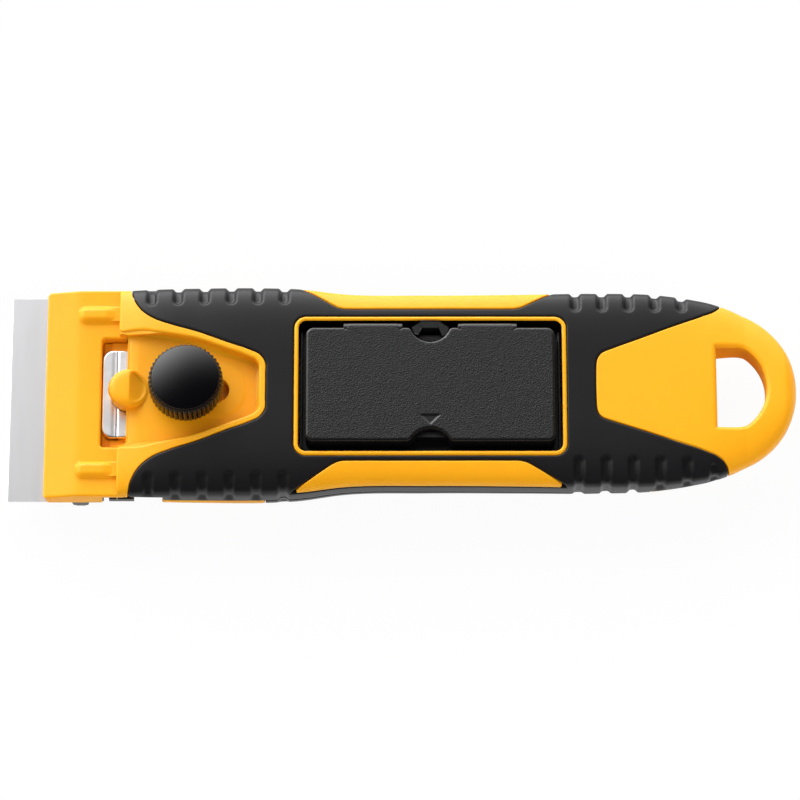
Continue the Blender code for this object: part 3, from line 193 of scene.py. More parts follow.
def curve_through(points, step=0.0003):
    """Closely spaced points of a smooth open curve through the given plan points."""
    points = np.asarray(points, float)
    along = np.concatenate(((0,), np.cumsum(np.linalg.norm(np.diff(points, axis=0), axis=1))))
    at = np.linspace(0, along[-1], int(along[-1] / step) + 2)
    return np.column_stack([smooth_through(at, along, points[:, k]) for k in (0, 1)])


def within(outline):
    """Distance inside a closed plan outline, negative outside it, as a function of points."""
    a = np.asarray(outline, float)
    b = np.roll(a, -1, axis=0)
    edge = b - a
    square = np.maximum((edge ** 2).sum(1), 1e-18)

    def distance(points):
        flat = points[..., :2].reshape(-1, 2)
        out = np.empty(len(flat))
        for k in range(0, len(flat), 8000):
            p = flat[k:k + 8000, None, :]
            t = np.clip(((p - a) * edge).sum(-1) / square, 0, 1)
            gap = np.sqrt((((a + t[..., None] * edge) - p) ** 2).sum(-1).min(1))
            above = (a[:, 1] > p[..., 1]) != (b[:, 1] > p[..., 1])
            with np.errstate(divide="ignore", invalid="ignore"):
                cross = a[:, 0] + (p[..., 1] - a[:, 1]) * edge[:, 0] / edge[:, 1]
            inside = (above & (p[..., 0] < cross)).sum(1) % 2 == 1
            out[k:k + 8000] = np.where(inside, gap, -gap)
        return out.reshape(points.shape[:-1])
    return distance


def within_open(line, x):
    """Distance inside the plan area between an open line and a straight one at x."""
    return within(np.concatenate((line, [(x, line[-1, 1]), (x, line[0, 1])])))


def rounded_box(centre, size, radius):
    """Distance inside a rectangle with rounded corners, as a function of points."""
    def distance(points):
        across = np.abs(points[..., 0] - centre[0]) - size[0] / 2 + radius
        up = np.abs(points[..., 1] - centre[1]) - size[1] / 2 + radius
        outside = np.hypot(np.maximum(across, 0), np.maximum(up, 0))
        return radius - outside - np.minimum(np.maximum(across, up), 0)
    return distance


def slopes_of(surface, u, v):
    """The surface's two tangents and its outward unit normal, from small steps in u and v."""
    along = (surface(u + PROBE, v) - surface(u - PROBE, v)) / (2 * PROBE)
    across = (surface(u, v + PROBE) - surface(u, v - PROBE)) / (2 * PROBE)
    normal = np.cross(along, across)
    normal /= np.maximum(np.linalg.norm(normal, axis=-1, keepdims=True), 1e-12)
    return along, across, normal


def border_out(surface, inside, u, v):
    """Unit direction, in the surface, in which the distance inside falls fastest."""
    along, across, normal = slopes_of(surface, u, v)
    fall = np.stack((inside(surface(u + PROBE, v)) - inside(surface(u - PROBE, v)),
                     inside(surface(u, v + PROBE)) - inside(surface(u, v - PROBE))), -1) / (2 * PROBE)
    aa, ab, bb = (along * along).sum(-1), (along * across).sum(-1), (across * across).sum(-1)
    size = np.maximum(aa * bb - ab * ab, 1e-12)
    one = (bb * fall[..., 0] - ab * fall[..., 1]) / size
    two = (aa * fall[..., 1] - ab * fall[..., 0]) / size
    out = -(along * one[..., None] + across * two[..., None])
    out /= np.maximum(np.linalg.norm(out, axis=-1, keepdims=True), 1e-12)
    return out, normal


def onto_border(surface, depth, u, v, cell):
    """Move places on the surface to where depth is zero, along its slope and a cell at a time."""
    for _ in range(6):
        here = depth(surface(u, v))
        fu = (depth(surface(u + PROBE, v)) - here) / PROBE
        fv = (depth(surface(u, v + PROBE)) - here) / PROBE
        move = np.clip(here / np.maximum(fu * fu + fv * fv, 1e-3), -cell, cell)
        u, v = u - move * fu, v - move * fv
    return u, v


def grid_quads(shape):
    """Quads between neighbours of a grid of points, first along rows and then along columns."""
    index = np.arange(shape[0] * shape[1]).reshape(shape[:2])
    return np.stack((index[:-1, :-1], index[1:, :-1], index[1:, 1:], index[:-1, 1:]), -1).reshape(-1, 4)


NO_TRIANGLES = np.zeros((0, 3), int)


def grid_shell(grid, turned_over=False):
    """Points and faces of a grid of points."""
    quads = grid_quads(grid.shape)
    return grid.reshape(-1, 3), quads[:, ::-1] if turned_over else quads, NO_TRIANGLES


def skin(surface, us, vs, inside, edge, wall, steps=6):
    """Mesh of the part of a surface that lies inside a border, with a rounded edge and a wall.

    surface(u, v) gives points and inside(points) the distance inside the border. Grid points
    next to the line that lies one edge radius inside the border move onto it. From there rings
    turn down through a quarter circle of that radius, and wall(points, normal, out) carries on.
    edge is the radius, or a function of points. Returns points and faces.
    """
    radius = edge if callable(edge) else (lambda points: np.full(points.shape[:-1], edge))
    depth = lambda points: inside(points) - radius(points)
    u, v = np.meshgrid(us, vs, indexing="ij")
    d = depth(surface(u, v))
    snapped = np.zeros(d.shape, bool)
    for a, b in ((np.s_[:-1, :], np.s_[1:, :]), (np.s_[:, :-1], np.s_[:, 1:])):
        crosses = (d[a] > 0) != (d[b] > 0)
        first = np.abs(d[a]) <= np.abs(d[b])
        snapped[a] |= crosses & first
        snapped[b] |= crosses & ~first
    cell = max(us[1] - us[0], vs[1] - vs[0])
    su, sv = onto_border(surface, depth, u[snapped], v[snapped], cell)
    u[snapped] = np.clip(su, us[0], us[-1])
    v[snapped] = np.clip(sv, vs[0], vs[-1])
    points = surface(u, v)
    ok = (d > 0) | snapped
    count = u.size
    quads = grid_quads(u.shape)
    good = ok.reshape(-1)[quads]
    full = quads[good.all(1)]
    flat = points.reshape(-1, 3)
    full = full[depth(flat[full].mean(1)) > -OUTSIDE_SHARE * cell]
    three = quads[good.sum(1) == 3]
    lost = np.argmin(ok.reshape(-1)[three], axis=1)
    row = np.arange(len(three))
    triangles = np.stack([three[row, (lost + k) % 4] for k in (1, 2, 3)], -1)
    triangles = triangles[depth(flat[triangles].mean(1)) > -OUTSIDE_SHARE * cell]
    edges = np.concatenate([full[:, [k, (k + 1) % 4]] for k in range(4)]
                           + [triangles[:, [k, (k + 1) % 3]] for k in range(3)])
    rim = edges[~np.isin(edges[:, 0] * count + edges[:, 1], edges[:, 1] * count + edges[:, 0])]
    rows, cols = np.divmod(rim, u.shape[1])
    on_side = ((rows == 0).all(1) | (rows == u.shape[0] - 1).all(1)
               | (cols == 0).all(1) | (cols == u.shape[1] - 1).all(1))
    rim = rim[~on_side]
    rim_points = np.unique(rim)
    ru, rv = onto_border(surface, depth, u.reshape(-1)[rim_points], v.reshape(-1)[rim_points], cell)
    base = surface(ru, rv)
    flat[rim_points] = base
    out, normal = border_out(surface, depth, ru, rv)
    r = radius(base)[:, None]
    turns = [math.pi / 2 * k / steps for k in range(1, steps + 1)]
    rings = [base + out * r * math.sin(t) - normal * r * (1 - math.cos(t)) for t in turns]
    rings += wall(rings[-1], normal, out)
    all_points = np.concatenate([flat] + rings)
    place = np.full(count, -1)
    place[rim_points] = np.arange(len(rim_points))
    a, b = place[rim[:, 0]], place[rim[:, 1]]
    size = len(rim_points)
    sides = []
    for k in range(len(rings)):
        upper_a = rim[:, 0] if k == 0 else count + (k - 1) * size + a
        upper_b = rim[:, 1] if k == 0 else count + (k - 1) * size + b
        sides.append(np.stack((upper_b, upper_a, count + k * size + a, count + k * size + b), -1))
    quads = np.concatenate([full] + sides)
    used = np.unique(np.concatenate((quads.ravel(), triangles.ravel())))
    renumber = np.full(len(all_points), -1)
    renumber[used] = np.arange(len(used))
    return all_points[used], renumber[quads], renumber[triangles]


def drop(depth):
    """A wall straight down from the skin, against its normal."""
    return lambda points, normal, out: [points - normal * depth]


def down_to(level):
    """A wall straight down to a level."""
    return lambda points, normal, out: [
        np.column_stack((points[:, :2], np.minimum(level, points[:, 2])))]


def make_object(name, shells, material, body, weld=1e-6, sharp=44):
    """One object from several (points, quads, triangles) shells, smooth but for its sharp edges."""
    points, faces, start = [], [], 0
    for p, quads, triangles in shells:
        points.append(p)
        faces += (quads + start).tolist() + (triangles + start).tolist()
        start += len(p)
    mesh = bpy.data.meshes.new(name)
    mesh.from_pydata(np.concatenate(points).tolist(), [], faces)
    shape = bmesh.new()
    shape.from_mesh(mesh)
    bmesh.ops.remove_doubles(shape, verts=shape.verts, dist=weld)
    bmesh.ops.dissolve_degenerate(shape, dist=weld, edges=shape.edges)
    shape.to_mesh(mesh)
    shape.free()
    mesh.shade_smooth()
    mesh.set_sharp_from_angle(angle=math.radians(sharp))
    mesh.materials.append(material)
    piece = bpy.data.objects.new(name, mesh)
    bpy.context.scene.collection.objects.link(piece)
    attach(piece, body)
    return piece


def finish(name):
    """A new material's node tree, its shader, and a link from Object coordinates."""
    material = bpy.data.materials.new(name)
    material.use_nodes = True
    tree = material.node_tree
    return material, tree, tree.nodes["Principled BSDF"], tree.nodes.new("ShaderNodeTexCoord")


def noise(tree, coordinates, scale, detail, roughness=0.5):
    """A noise texture in cycles per metre."""
    node = tree.nodes.new("ShaderNodeTexNoise")
    node.inputs["Scale"].default_value = scale
    node.inputs["Detail"].default_value = detail
    node.inputs["Roughness"].default_value = roughness
    tree.links.new(coordinates.outputs["Object"], node.inputs["Vector"])
    return node


def spread(tree, value, low, high, shader):
    """Carry a noise texture's usual range to low..high and into the shader's roughness."""
    node = tree.nodes.new("ShaderNodeMapRange")
    for name, amount in (("From Min", 0.3), ("From Max", 0.7), ("To Min", low), ("To Max", high)):
        node.inputs[name].default_value = amount
    tree.links.new(value, node.inputs["Value"])
    tree.links.new(node.outputs["Result"], shader.inputs["Roughness"])


def two_tones(tree, value, one, other, shader):
    """Blend two colours by a value and into the shader's colour."""
    node = tree.nodes.new("ShaderNodeMix")
    node.data_type = "RGBA"
    node.inputs["A"].default_value = (*one, 1)
    node.inputs["B"].default_value = (*other, 1)
    tree.links.new(value, node.inputs["Factor"])
    tree.links.new(node.outputs["Result"], shader.inputs["Base Color"])


def bump(tree, height, distance, strength, shader, under=None):
    """Raise the surface by a height texture, with an earlier bump under it if given."""
    node = tree.nodes.new("ShaderNodeBump")
    node.inputs["Distance"].default_value = distance
    node.inputs["Strength"].default_value = strength
    tree.links.new(height, node.inputs["Height"])
    if under:
        tree.links.new(under.outputs["Normal"], node.inputs["Normal"])
    tree.links.new(node.outputs["Normal"], shader.inputs["Normal"])
    return node


def read(items, name, width, kind=float):
    """One property of all the items of a mesh, with the given number of values for each."""
    values = np.empty(width * len(items), kind)
    items.foreach_get(name, values)
    return values.reshape(-1, width) if width > 1 else values


def second_finish(piece, material, chosen):
    """Give the faces whose centres are chosen a second material."""
    mesh = piece.data
    mesh.materials.append(material)
    centres = read(mesh.polygons, "center", 3)
    mesh.polygons.foreach_set("material_index", chosen(centres).astype(np.int32))


def moulded_finish(name, one, other, cloud, grain, rough, shine, relief):
    """A moulded rubber or plastic: clouds of two near tones, and a grain in its roughness and
    relief. cloud and grain are a noise's scale, detail and roughness, and relief is a bump's
    distance and strength."""
    material, tree, shader, coordinates = finish(name)
    clouds = noise(tree, coordinates, *cloud).outputs["Fac"]
    grains = noise(tree, coordinates, *grain).outputs["Fac"]
    two_tones(tree, clouds, one, other, shader)
    spread(tree, grains, *rough, shader)
    shader.inputs["Specular IOR Level"].default_value = shine
    bump(tree, grains, *relief, shader)
    return material


def plain_finish(name, colour, low, high, grain_height, shine=0.5):
    """A smooth moulded plastic with a faint grain."""
    return moulded_finish(name, colour, tuple(1.35 * c for c in colour), (300, 2), (2400, 2),
                          (low, high), shine, (grain_height, 0.2))


rubber = moulded_finish("black_rubber", (0.0085, 0.0083, 0.0091), (0.0112, 0.0110, 0.0120),
                        (160, 3), (2600, 3, 0.6), (0.30, 0.38), 0.26, (0.00005, 0.35))

nose_half = [(FORK_TIP + a * NOSE_LENGTH, b * HALF_WIDTH) for a, b in NOSE_SHARES]
nose_line = curve_through(nose_half + [(x, -y) for x, y in reversed(nose_half)])
tail_line = curve_through([(x, -y) for x, y in reversed(TAIL_NEAR)] + list(TAIL_FAR))
in_nose, in_tail = within_open(nose_line, PLAN_ENDS[0]), within_open(tail_line, PLAN_ENDS[1])


def insert_plan(front, rear):
    """Distance inside one insert's plan, drawn on the far side."""
    return within(curve_through(
        [(CASE_X - a * INSERT_HALF_LENGTH, b * HALF_WIDTH) for a, b in reversed(front)]
        + [(CASE_X + a * INSERT_HALF_LENGTH, b * HALF_WIDTH) for a, b in rear]))


in_far_insert, in_near_insert = insert_plan(*INSERT_FAR), insert_plan(*INSERT_NEAR)


def in_inserts(points):
    """Distance inside the waist inserts: within their plan outlines and above their lower edge."""
    near = in_near_insert(points * (1, -1, 1))
    return np.minimum(np.maximum(in_far_insert(points), near), points[..., 2] - INSERT_BOTTOM)


in_lip = rounded_box((CASE_X, 0), LIP_OUTSIDE, LIP_CORNER)


def in_upper_grip(points):
    """Distance inside the grip: outside the nose, tail, inserts and lip, and above the parting."""
    x, z = points[..., 0], points[..., 2]
    above = np.maximum(z - RELIEF_TOP, np.minimum(x - RELIEF_END, z - PARTING))
    others = [in_nose(points), in_tail(points), in_inserts(points), in_lip(points)]
    return np.minimum(above, -np.max(others, axis=0)) - SEAM


def groove_depth(points):
    """Depth of the finger grooves: a channel round each line across a shoulder, which fades out
    above the level where it stops."""
    x, z = points[..., 0], points[..., 2]
    total = np.zeros(x.shape)
    for side, first, pitch, count, inner in GROOVE_ROWS:
        short = np.minimum(side * points[..., 1] - inner, 0)
        for k in range(count):
            away = np.hypot(x - first - k * pitch, short)
            t = np.clip((GROOVE_HALF_WIDTH - away) / (GROOVE_SIDE * GROOVE_HALF_WIDTH), 0, 1)
            total = np.maximum(total, t * t * (3 - 2 * t))
    places, stops = np.transpose(GROOVE_STOPS)
    fade = np.clip((z - np.interp(x, places, stops)) / GROOVE_END, 0, 1)
    return GROOVE_DEPTH * total * fade * fade * (3 - 2 * fade)


def grip_point(u, v):
    """The handle's form with the finger grooves pressed into it along its normal."""
    plain = handle_point(u, v)
    _, _, normal = slopes_of(handle_point, u, v)
    return plain - normal * groove_depth(plain)[..., None]


grip_reach = RIM_SIDE + GRIP_REACH
upper_grip = make_object("soft_upper_grip", [skin(
    grip_point, np.arange(FORK_TIP + GRIP_ENDS[0], GRIP_ENDS[1], GRIP_CELL),
    np.arange(-grip_reach, grip_reach + GRIP_CELL, GRIP_CELL), in_upper_grip, GRIP_EDGE,
    drop(SKIN_WALL), 4)], rubber, "handle")
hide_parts("upper_grip")


# Yellow tail with the hang hole
# The end of the yellow shell, moulded in glass-filled nylon with a satin skin. The hole with one
# straight side hangs the tool on a hook.

TAIL_START = 0.0350
TAIL_CELL = 0.00030
SHELL_EDGE = 0.00022
LOWER_SHELL_BACK = 0.0497
HANG_X = 0.05805
HANG_RADIUS = 0.0092
HANG_HALF_WIDTH = 0.0078
HANG_EDGE = 0.00085
HANG_CORNER = 0.0009
HANG_MIDDLE = 0.0088
HANG_WALL_TOP = 0.0118
# Distances from the hole's border within which a point and a face belong to its wall
HANG_WALL_BANDS = (0.0004, 0.0002)


yellow = moulded_finish("yellow_nylon", (0.975, 0.410, 0.0085), (0.990, 0.430, 0.0115), (90, 3),
                        (1900, 3, 0.6), (0.36, 0.46), 0.30, (0.00002, 0.12))
yellow_inputs = yellow.node_tree.nodes["Principled BSDF"].inputs
yellow_inputs["Subsurface Weight"].default_value = 0.25
yellow_inputs["Subsurface Radius"].default_value = (1.0, 0.30, 0.05)
yellow_inputs["Subsurface Scale"].default_value = 0.0020


def soft_least(one, other, soft):
    """The lesser of two distances, rounded over a width of soft where they meet."""
    share = np.clip(0.5 + 0.5 * (other - one) / soft, 0, 1)
    return one * share + other * (1 - share) - soft * share * (1 - share)


def in_hang_hole(points):
    """Distance inside the hang hole: within its circle, its two flats and its straight side."""
    x, y = points[..., 0] - HANG_X, np.abs(points[..., 1])
    round_side = soft_least(HANG_RADIUS - np.hypot(x, y), HANG_HALF_WIDTH - y, HANG_CORNER)
    return soft_least(round_side, x, HANG_CORNER)


def in_yellow_tail(points):
    """Distance inside the tail: its top within its outline, and all the underside behind the
    lower shell, less the hang hole."""
    x, z = points[..., 0], points[..., 2]
    top = np.minimum(in_tail(points), np.maximum(z - PARTING, x - LOWER_SHELL_BACK)) - SEAM
    under = np.minimum(PARTING - z, x - LOWER_SHELL_BACK) - SEAM
    return np.maximum(top, under)


def tail_edge(points):
    """The hang hole has a wide rounding, the seams a small one."""
    near_hole = in_yellow_tail(points) - SHELL_EDGE > -in_hang_hole(points) - HANG_EDGE
    return np.where(near_hole, HANG_EDGE, SHELL_EDGE)


def tail_wall(points, normal, out):
    """Down to the middle level inside the hang hole, and a little way in along the seams."""
    at_hole = (np.abs(in_hang_hole(points)) < HANG_WALL_BANDS[0])[:, None]
    level = points * (1, 1, 0) + (0, 0, HANG_MIDDLE)
    return [np.where(at_hole, points + share * (level - points), points - normal * SKIN_WALL * share)
            for share in (0.5, 1.0)]


tail_us = np.concatenate((np.arange(TAIL_START, BLEND_X, TAIL_CELL),
                          np.linspace(BLEND_X, BLEND_X + TAIL_RADIUS * BLEND_ANGLE, 64)))
tail_vs = np.linspace(-RIM_END, RIM_END, 380)
tail = make_object("yellow_tail", [skin(
    handle_point, tail_us, tail_vs, lambda p: np.minimum(in_yellow_tail(p), -in_hang_hole(p)),
    tail_edge, tail_wall, 6)], yellow, "handle", weld=2e-5)
# The hang hole's wall gets a matt, low-shine yellow. Its deeper orange colour is painted shade for the
# inside of the hole.
hole_wall_painted_shade = plain_finish("matt_yellow_nylon_painted_shade", (0.620, 0.235, 0.0080), 0.60, 0.75, 0.00002, 0.04)
second_finish(tail, hole_wall_painted_shade,
              lambda p: (np.abs(in_hang_hole(p)) < HANG_WALL_BANDS[1]) & (p[:, 2] < HANG_WALL_TOP))
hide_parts("upper_shell")


# Waist inserts
# Two windows in the soft grip where the yellow shell comes through at the handle's waist.

INSERT_CELL = 0.00025
INSERT_ENDS = (0.0262, 0.0285)
INSERT_START = 0.0140
INSERT_MARGIN = 0.001

insert_us = np.arange(CASE_X - INSERT_ENDS[0], CASE_X + INSERT_ENDS[1], INSERT_CELL)
insert_vs = np.arange(INSERT_START, RIM_SIDE + INSERT_MARGIN, INSERT_CELL)
make_object("waist_inserts", [
    skin(handle_point, insert_us, vs, lambda p: in_inserts(p) - SEAM, SHELL_EDGE, drop(SKIN_WALL), 4)
    for vs in (insert_vs, -insert_vs[::-1])], yellow, "handle")


# Nose
# The yellow fork ahead of the grip. A raised rim runs round the recess in which the clamp knob
# slides, and the recess floor is slotted for the clamp bolt.

RECESS_HALF = 0.0113
RECESS_FLOOR = 0.0103
RECESS_LIP = 0.00125
INNER_START = 0.001
NOSE_FRONT = -0.05115
# Length, fall and power of the slope at the plate's front
NOSE_SLOPE = (0.0024, 0.00035, 1.4)
PLATE_EDGE = 0.0009
NOSE_UNDER = 0.0086
CLAMP_X = -0.03985
SLOT_BACK = -0.03435
# Rounding of the rim's inner edge at the fork and along the V, and where it changes over
RIM_EDGES = (0.00085, 0.00048)
RIM_NARROWS = (-0.0490, -0.0450)
# The most of the rim's height that the rounding takes, as a share, and the least in metres
RIM_EDGE_SHARE = 0.46
LEAST_EDGE = 0.0001
RIM_FOOT = 0.0007
RIM_CORNER = 0.0030
RIM_SEAM_EDGE = 0.00014
FORK_EDGE = 0.0005
FORK_WALL = 0.0030
NOSE_CELL = 0.00017
# How far the grid goes past the fork's tip, the nose's end and the widest level
NOSE_MARGINS = (0.0003, 0.0006, 0.0020)
FLOOR_CELL = 0.0002
SLOT_WIDTH = 0.0046
PAD_WIDTH = 0.0106
PAD_RISE = 0.00010
PAD_SIDE = 0.0005
SLOT_EDGE = 0.0002
FLOOR_BACK = -0.0246
FLOOR_MARGIN = 0.001
FLOOR_REACH = 0.0115
ON_BORDER = 0.0003
FLOOR_UNDER_RIM = 0.0006

direction = np.gradient(nose_line, axis=0)
direction /= np.linalg.norm(direction, axis=1, keepdims=True)
inner_line = nose_line - RECESS_LIP * np.column_stack((-direction[:, 1], direction[:, 0]))
in_inner_line = within_open(inner_line[inner_line[:, 0] > FORK_TIP + INNER_START], PLAN_ENDS[0])


def in_recess_plan(points):
    """Distance inside the recess: within the offset nose line and between the fork's arms."""
    return soft_least(in_inner_line(points), RECESS_HALF - np.abs(points[..., 1]), RIM_CORNER)


def recess_radius(points):
    """Rounding of the rim's inner edge: wide on the fork's arms, narrow along the V."""
    widest = np.interp(points[..., 0], RIM_NARROWS, RIM_EDGES)
    return np.clip(RIM_EDGE_SHARE * (points[..., 2] - RECESS_FLOOR), LEAST_EDGE, widest)


def nose_borders(points):
    """Distances behind the rounded edges at the grip's seam, the recess and the fork's front."""
    outer = np.minimum(in_nose(points) - SEAM, points[..., 2] - RELIEF_TOP)
    return np.stack((outer - RIM_SEAM_EDGE, -in_recess_plan(points) - recess_radius(points),
                     points[..., 0] - FORK_TIP - FORK_EDGE))


def nose_edge(points):
    """Small at the seam with the grip, wide at the recess and at the fork's front."""
    nearest = np.argmin(nose_borders(points), axis=0)
    radius = recess_radius(points)
    return np.choose(nearest, (np.full(radius.shape, RIM_SEAM_EDGE), radius,
                               np.full(radius.shape, FORK_EDGE)))


def in_nose_rim(points):
    """Distance inside the nose's rim: the least border distance with its own radius added."""
    return np.min(nose_borders(points), axis=0) + nose_edge(points)


def nose_wall(points, normal, out):
    """Down and out in a fillet to the recess floor, down to the head at the fork's front, and a
    little way in along the grip's seam."""
    at_recess = (np.abs(in_recess_plan(points)) < ON_BORDER)[:, None]
    at_front = (np.abs(points[:, 0] - FORK_TIP) < ON_BORDER)[:, None]
    flat = out * (1, 1, 0)
    flat /= np.maximum(np.linalg.norm(flat, axis=1, keepdims=True), 1e-9)
    drop_height = np.maximum(points[:, 2:] - RECESS_FLOOR, 0)
    radius = np.minimum(RIM_FOOT, drop_height)
    rings = []
    for share in (0.0, 0.25, 0.5, 0.75, 1.0):
        angle = share * math.pi / 2
        foot = points * (1, 1, 0) + flat * radius * (1 - math.cos(angle))
        foot[:, 2:] = RECESS_FLOOR + radius * (1 - math.sin(angle))
        front = points - (0, 0, FORK_WALL * (share + 0.1))
        seam = points - normal * SKIN_WALL * (share + 0.1)
        rings.append(np.where(at_recess, foot, np.where(at_front, front, seam)))
    return rings


nose_us = np.arange(FORK_TIP - NOSE_MARGINS[0], FORK_TIP + NOSE_LENGTH + NOSE_MARGINS[1], NOSE_CELL)
nose_reach = RIM_SIDE + NOSE_MARGINS[2]
nose_vs = np.arange(-nose_reach, nose_reach, NOSE_CELL)
nose = skin(handle_point, nose_us, nose_vs, in_nose_rim, nose_edge, nose_wall, 6)

in_slot, in_pad = (rounded_box(((CLAMP_X + SLOT_BACK) / 2, 0), (SLOT_BACK - CLAMP_X + width, width),
                               width / 2 - 0.00001) for width in (SLOT_WIDTH, PAD_WIDTH))


def floor_point(u, v):
    """The flat recess floor, sloped down at its front, with a low pad round the slot."""
    flat = np.stack((u, v), -1)
    rise = np.clip(in_pad(flat) / PAD_SIDE + 0.5, 0, 1)
    ahead = np.clip(1 - (u - NOSE_FRONT) / NOSE_SLOPE[0], 0, None)
    slope = NOSE_SLOPE[1] * ahead ** NOSE_SLOPE[2]
    return np.stack((u, v, RECESS_FLOOR - slope + PAD_RISE * rise * rise * (3 - 2 * rise)), -1)


def floor_sides(points):
    """Distance outside the slot and inside the rim's foot."""
    return np.minimum(-in_slot(points), in_recess_plan(points) + FLOOR_UNDER_RIM)


def in_floor(points):
    return np.minimum(points[..., 0] - NOSE_FRONT, floor_sides(points))


def floor_edge(points):
    """Wide at the floor's front edge, small at the slot."""
    front = points[..., 0] - NOSE_FRONT - PLATE_EDGE < floor_sides(points) - SLOT_EDGE
    return np.where(front, PLATE_EDGE, SLOT_EDGE)


floor = skin(floor_point, np.arange(NOSE_FRONT - FLOOR_MARGIN, FLOOR_BACK, FLOOR_CELL),
             np.arange(-FLOOR_REACH, FLOOR_REACH, FLOOR_CELL), in_floor, floor_edge,
             down_to(NOSE_UNDER), 6)
make_object("yellow_nose", [nose, floor], yellow, "handle")


# Thumb nub
# A low button on the front edge of the recess floor, with its back half hollowed for the thumb.

NUB_X = -0.05055
NUB_RADIUS = 0.00362
NUB_RIM = 0.0011
NUB_DOME = 0.0013
NUB_CREASE = 0.0001
NUB_ROUNDING = 0.0004
# Powers of the dome's superellipse, and the hollow's start, as a share of the height, and power
NUB_POWERS = (3.6, 2.4)
NUB_HOLLOW = (1.03, 1.9)
# Height, place as a share of the radius, and half width of the hollow's rim
NUB_BACK_RIM = (0.00022, 0.87, 0.10)


def nub_point(radial, turn):
    """A flattened dome over a disc, whose back half falls in a hollow curve to the recess floor.

    The dome is a superellipse over the radius. The hollow slope has a low rim round it. The
    lesser of the dome and the slope is taken, rounded where they cross.
    """
    x, y = radial * np.cos(turn), radial * np.sin(turn)
    share = np.clip(radial / NUB_RADIUS, 0, 1)
    dome = NUB_RIM + NUB_DOME * (1 - share ** NUB_POWERS[0]) ** (1 / NUB_POWERS[1])
    fall = np.clip((x - NUB_CREASE) / (NUB_RADIUS - NUB_CREASE), 0, 1)
    slope = (NUB_RIM + NUB_DOME) * NUB_HOLLOW[0] * (1 - fall) ** NUB_HOLLOW[1]
    height, place, width = NUB_BACK_RIM
    slope += height * np.exp(-((share - place) / width) ** 2) * np.clip(4 * fall, 0, 1)
    return np.stack((NUB_X + x, y, RECESS_FLOOR + soft_least(dome, slope, NUB_ROUNDING)), -1)


radial = NUB_RADIUS * np.sin(np.linspace(0, math.pi / 2, 40))
turns = np.linspace(0, 2 * math.pi, 97)
grid = nub_point(*np.meshgrid(radial, turns, indexing="ij"))
base = grid[-1:] * (1, 1, 0) + (0, 0, NOSE_UNDER)
make_object("thumb_nub", [grid_shell(np.concatenate((grid, base)))], yellow, "handle")


# Head
# The flat front of the yellow shell, which presses on the blade. It slopes down to its front,
# has two short ribs, and a window that shows the blade's stop bar.

HEAD_FRONT = -0.0662
HEAD_RIDGE = -0.0601
HEAD_TOP = 0.0091
HEAD_FRONT_TOP = 0.0078
HEAD_BOTTOM = 0.0054
HEAD_HALF = 0.02025
HEAD_BACK = -0.0500
WINDOW_FRONT = -0.05575
WINDOW_LENGTH = 0.010
WINDOW_HALF = 0.0107
WINDOW_CORNER = 0.0007
RIB_FRONT = -0.0603
RIB_LENGTH = 0.020
RIB_CORNER = 0.0014
RIB_MIDDLE = 0.01525
RIB_HALF = 0.0017
RIB_HEIGHT = 0.00100
RIB_SIDE = 0.0012
# Between which places a rib falls, and to which share of its height
RIB_FALLS = (-0.0550, -0.0526)
RIB_END_SHARE = 0.3
FRONT_LEAN = 0.0009
RELIEF_FRONT = -0.05515
RIDGE_ROUNDING = 0.0007
HEAD_CORNER = 0.0002
HEAD_CELL = 0.00020
HEAD_EDGE = 0.00040
HEAD_SIDE_BAND = 0.0005
# How far the grid goes past the front and near side, and the far side, and stops before the back
HEAD_MARGINS = (0.0003, 0.0004)
HEAD_BACK_GAP = 0.0012


def head_point(u, v):
    """Flat behind the ridge and sloped ahead of it, with two soft-edged ribs."""
    flat = np.stack((u, np.abs(v)), -1)
    ahead = -0.5 * ((u - HEAD_RIDGE) - np.sqrt((u - HEAD_RIDGE) ** 2 + RIDGE_ROUNDING ** 2))
    z = HEAD_TOP - (HEAD_TOP - HEAD_FRONT_TOP) / (HEAD_RIDGE - HEAD_FRONT) * ahead
    rib = rounded_box((RIB_FRONT + RIB_LENGTH / 2, RIB_MIDDLE), (RIB_LENGTH, 2 * RIB_HALF), RIB_CORNER)
    rise = np.clip(rib(flat) / RIB_SIDE, 0, 1)
    height = np.interp(u, RIB_FALLS, (RIB_HEIGHT, RIB_END_SHARE * RIB_HEIGHT))
    return np.stack((u, v, z + height * rise * (2 - rise)), -1)


head_side = [(HEAD_FRONT, HEAD_HALF - HEAD_CORNER), (HEAD_FRONT + HEAD_CORNER, HEAD_HALF),
             (HEAD_BACK, HEAD_HALF)]
head_plan = within([(x, -y) for x, y in head_side] + head_side[::-1])
in_window = rounded_box((WINDOW_FRONT + WINDOW_LENGTH / 2, 0), (WINDOW_LENGTH, 2 * WINDOW_HALF),
                        WINDOW_CORNER)


def head_wall(points, normal, out):
    """Down to the head's underside, leaning in at the front, but only to the relief's top along
    the sides behind it."""
    relieved = (points[:, 0] > RELIEF_FRONT) & (np.abs(points[:, 1]) > HEAD_HALF - HEAD_SIDE_BAND)
    ring = points.copy()
    ring[:, 2] = np.where(relieved, RELIEF_TOP, HEAD_BOTTOM)
    ring[:, 0] = np.maximum(ring[:, 0], HEAD_FRONT + FRONT_LEAN)
    return [ring]


make_object("yellow_head", [skin(
    head_point, np.arange(HEAD_FRONT - HEAD_MARGINS[0], HEAD_BACK - HEAD_BACK_GAP, HEAD_CELL),
    np.arange(-HEAD_HALF - HEAD_MARGINS[0], HEAD_HALF + HEAD_MARGINS[1], HEAD_CELL),
    lambda p: np.minimum(head_plan(p), -in_window(p)), HEAD_EDGE, head_wall, 5)],
    yellow, "handle")


# Case lip
# A thin yellow bead of the shell that stands through the grip round the spare-blade case.

